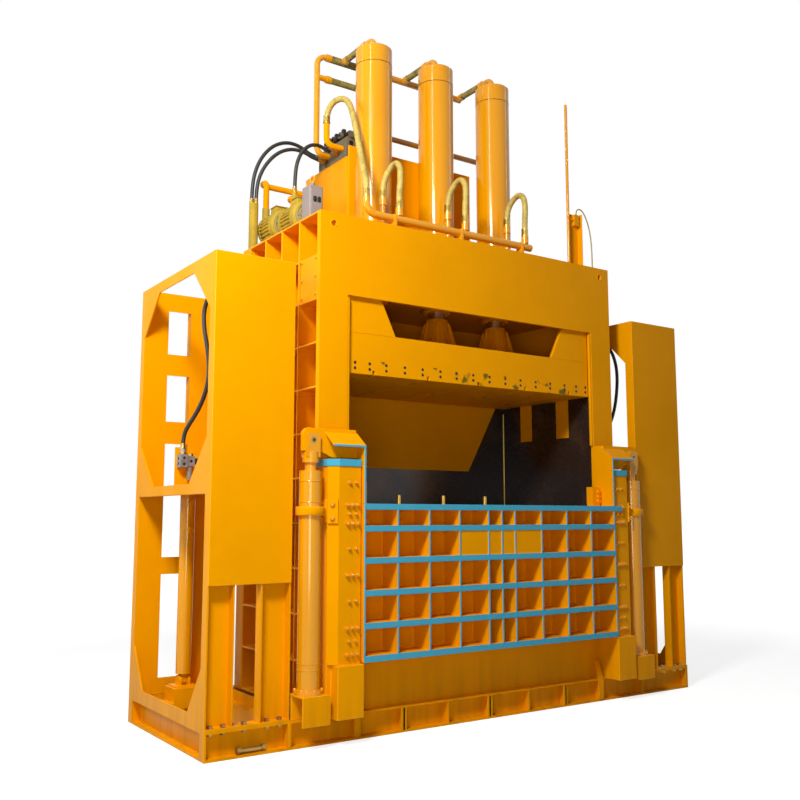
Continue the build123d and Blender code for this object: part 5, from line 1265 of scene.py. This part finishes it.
@dataclass
class Studio:
    """Camera at the photograph's place, pale floor and soft light from the upper left."""

    eye: Point = (-4.623, -6.244, 1.500)
    yaw: float = 34.38
    pitch: float = 7.23
    lens: float = 41.61
    key_watts: float = 335.0
    side_watts: float = 80.0
    fill_watts: float = 75.0
    line_watts: float = 64.0
    sky: float = 0.06
    shade_level: float = 0.78
    white_from: float = 5.0
    white_full: float = 9.0

    def camera(self) -> None:
        """Set the camera from its heading and tilt."""
        yaw, pitch = np.radians(self.yaw), np.radians(self.pitch)
        ahead = Vector((np.sin(yaw) * np.cos(pitch), np.cos(yaw) * np.cos(pitch), np.sin(pitch)))
        data = bpy.data.cameras.new("camera")
        data.lens, data.sensor_width, data.clip_end = self.lens, 36.0, 200.0
        holder = bpy.data.objects.new("camera", data)
        holder.location = self.eye
        holder.rotation_mode = "QUATERNION"
        holder.rotation_quaternion = ahead.to_track_quat("-Z", "Y")
        bpy.context.scene.collection.objects.link(holder)
        bpy.context.scene.camera = holder

    def lamp(self, name: str, place: Point, target: Point, width: float, height: float, watts: float) -> None:
        """Add one area lamp; a narrow upright one is mirrored by the barrels as a line.

        Args:
            name: the lamp's name.
            place: where it hangs.
            target: what it points at.
            width: its width.
            height: its height.
            watts: its power.
        """
        data = bpy.data.lights.new(name, "AREA")
        data.shape = "RECTANGLE"
        data.size, data.size_y, data.energy = width, height, watts
        holder = bpy.data.objects.new(name, data)
        holder.location = place
        holder.rotation_mode = "QUATERNION"
        holder.rotation_quaternion = (Vector(target) - Vector(place)).to_track_quat("-Z", "Y")
        bpy.context.scene.collection.objects.link(holder)

    def seen(self, tree: bpy.types.NodeTree) -> bpy.types.NodeSocket:
        """One for a ray from the camera, a mirror or glass, and nought for a ray that carries light."""
        path = node(tree, "LightPath")
        direct = node(tree, "Math", {0: path.outputs["Is Camera Ray"], 1: path.outputs["Is Glossy Ray"]},
                      operation="MAXIMUM")
        every = node(tree, "Math", {0: direct.outputs[0], 1: path.outputs["Is Transmission Ray"]}, operation="MAXIMUM")
        return every.outputs[0]

    def floor(self) -> None:
        """A wide pale floor: its own shadowed colour near the machine, and white further off."""
        x, y = np.meshgrid([-90.0, 90.0], [-90.0, 90.0], indexing="ij")
        made = Surface().grids(np.stack([x, y, np.full_like(x, -0.001)], axis=-1)[None])
        material, tree, shader = blank_material("pale_floor")
        shader.inputs["Base Color"].default_value = linear("B4B4B4")
        shader.inputs["Roughness"].default_value = 0.9
        shader.inputs["Emission Color"].default_value = (1.0, 1.0, 1.0, 1.0)
        place = node(tree, "TexCoord").outputs["Object"]
        away = node(tree, "VectorMath", {0: place}, operation="LENGTH")
        white = node(tree, "MapRange", {"Value": away.outputs["Value"], "From Min": self.white_from,
                                        "From Max": self.white_full, "To Min": self.shade_level, "To Max": 1.0})
        level = node(tree, "Math", {0: white.outputs[0], 1: self.seen(tree)}, operation="MULTIPLY")
        tree.links.new(level.outputs[0], shader.inputs["Emission Strength"])
        made.piece("floor", material)

    def world(self) -> None:
        """An even sky that the camera and mirrors see as white."""
        world = bpy.data.worlds.new("soft_sky")
        world.use_nodes = True
        tree = world.node_tree
        tree.nodes.clear()
        level = node(tree, "MapRange", {"Value": self.seen(tree), "To Min": self.sky, "To Max": 1.0})
        sky = node(tree, "Background", {"Color": (1.0, 1.0, 1.0, 1.0), "Strength": level.outputs[0]})
        node(tree, "OutputWorld", {"Surface": sky.outputs[0]})
        bpy.context.scene.world = world

    def build(self) -> None:
        """Set camera, light and floor."""
        self.camera()
        self.lamp("key", (-4.4, -3.4, 5.6), (-0.8, -0.4, 2.4), 1.0, 1.0, self.key_watts)
        self.lamp("side", (-5.8, 1.0, 3.4), (-1.5, 0.0, 2.4), 1.4, 1.4, self.side_watts)
        self.lamp("fill", (-4.5, -6.0, 1.4), (0.0, -0.6, 1.2), 2.0, 1.6, self.fill_watts)
        self.lamp("left_line", (-4.8, -3.0, 6.8), (-0.6, 0.0, 4.6), 0.10, 3.2, self.line_watts)
        self.lamp("far_line", (-5.4, 1.8, 6.8), (-0.6, 0.0, 4.6), 0.10, 3.2, 0.25 * self.line_watts)
        self.lamp("right_line", (5.2, -2.2, 6.8), (0.6, 0.0, 4.6), 0.10, 3.2, 0.25 * self.line_watts)
        self.floor()
        self.world()
        bpy.context.scene.view_settings.view_transform = "Standard"


def main() -> None:
    """Build the machine's looks in order."""
    logging.basicConfig(level=logging.INFO, format="%(name)s: %(message)s")
    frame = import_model()
    paints = Paints()
    Studio().build()
    Hoses(paints).build()
    Coat(paints, frame["nodes"]).apply()
    for group in (PressHead, PlatenStrip, Walls, LiftDoor, GuidePosts, SideFrames, DeckGear, Portal):
        group(paints).build()


if __name__ == "__main__":
    main()
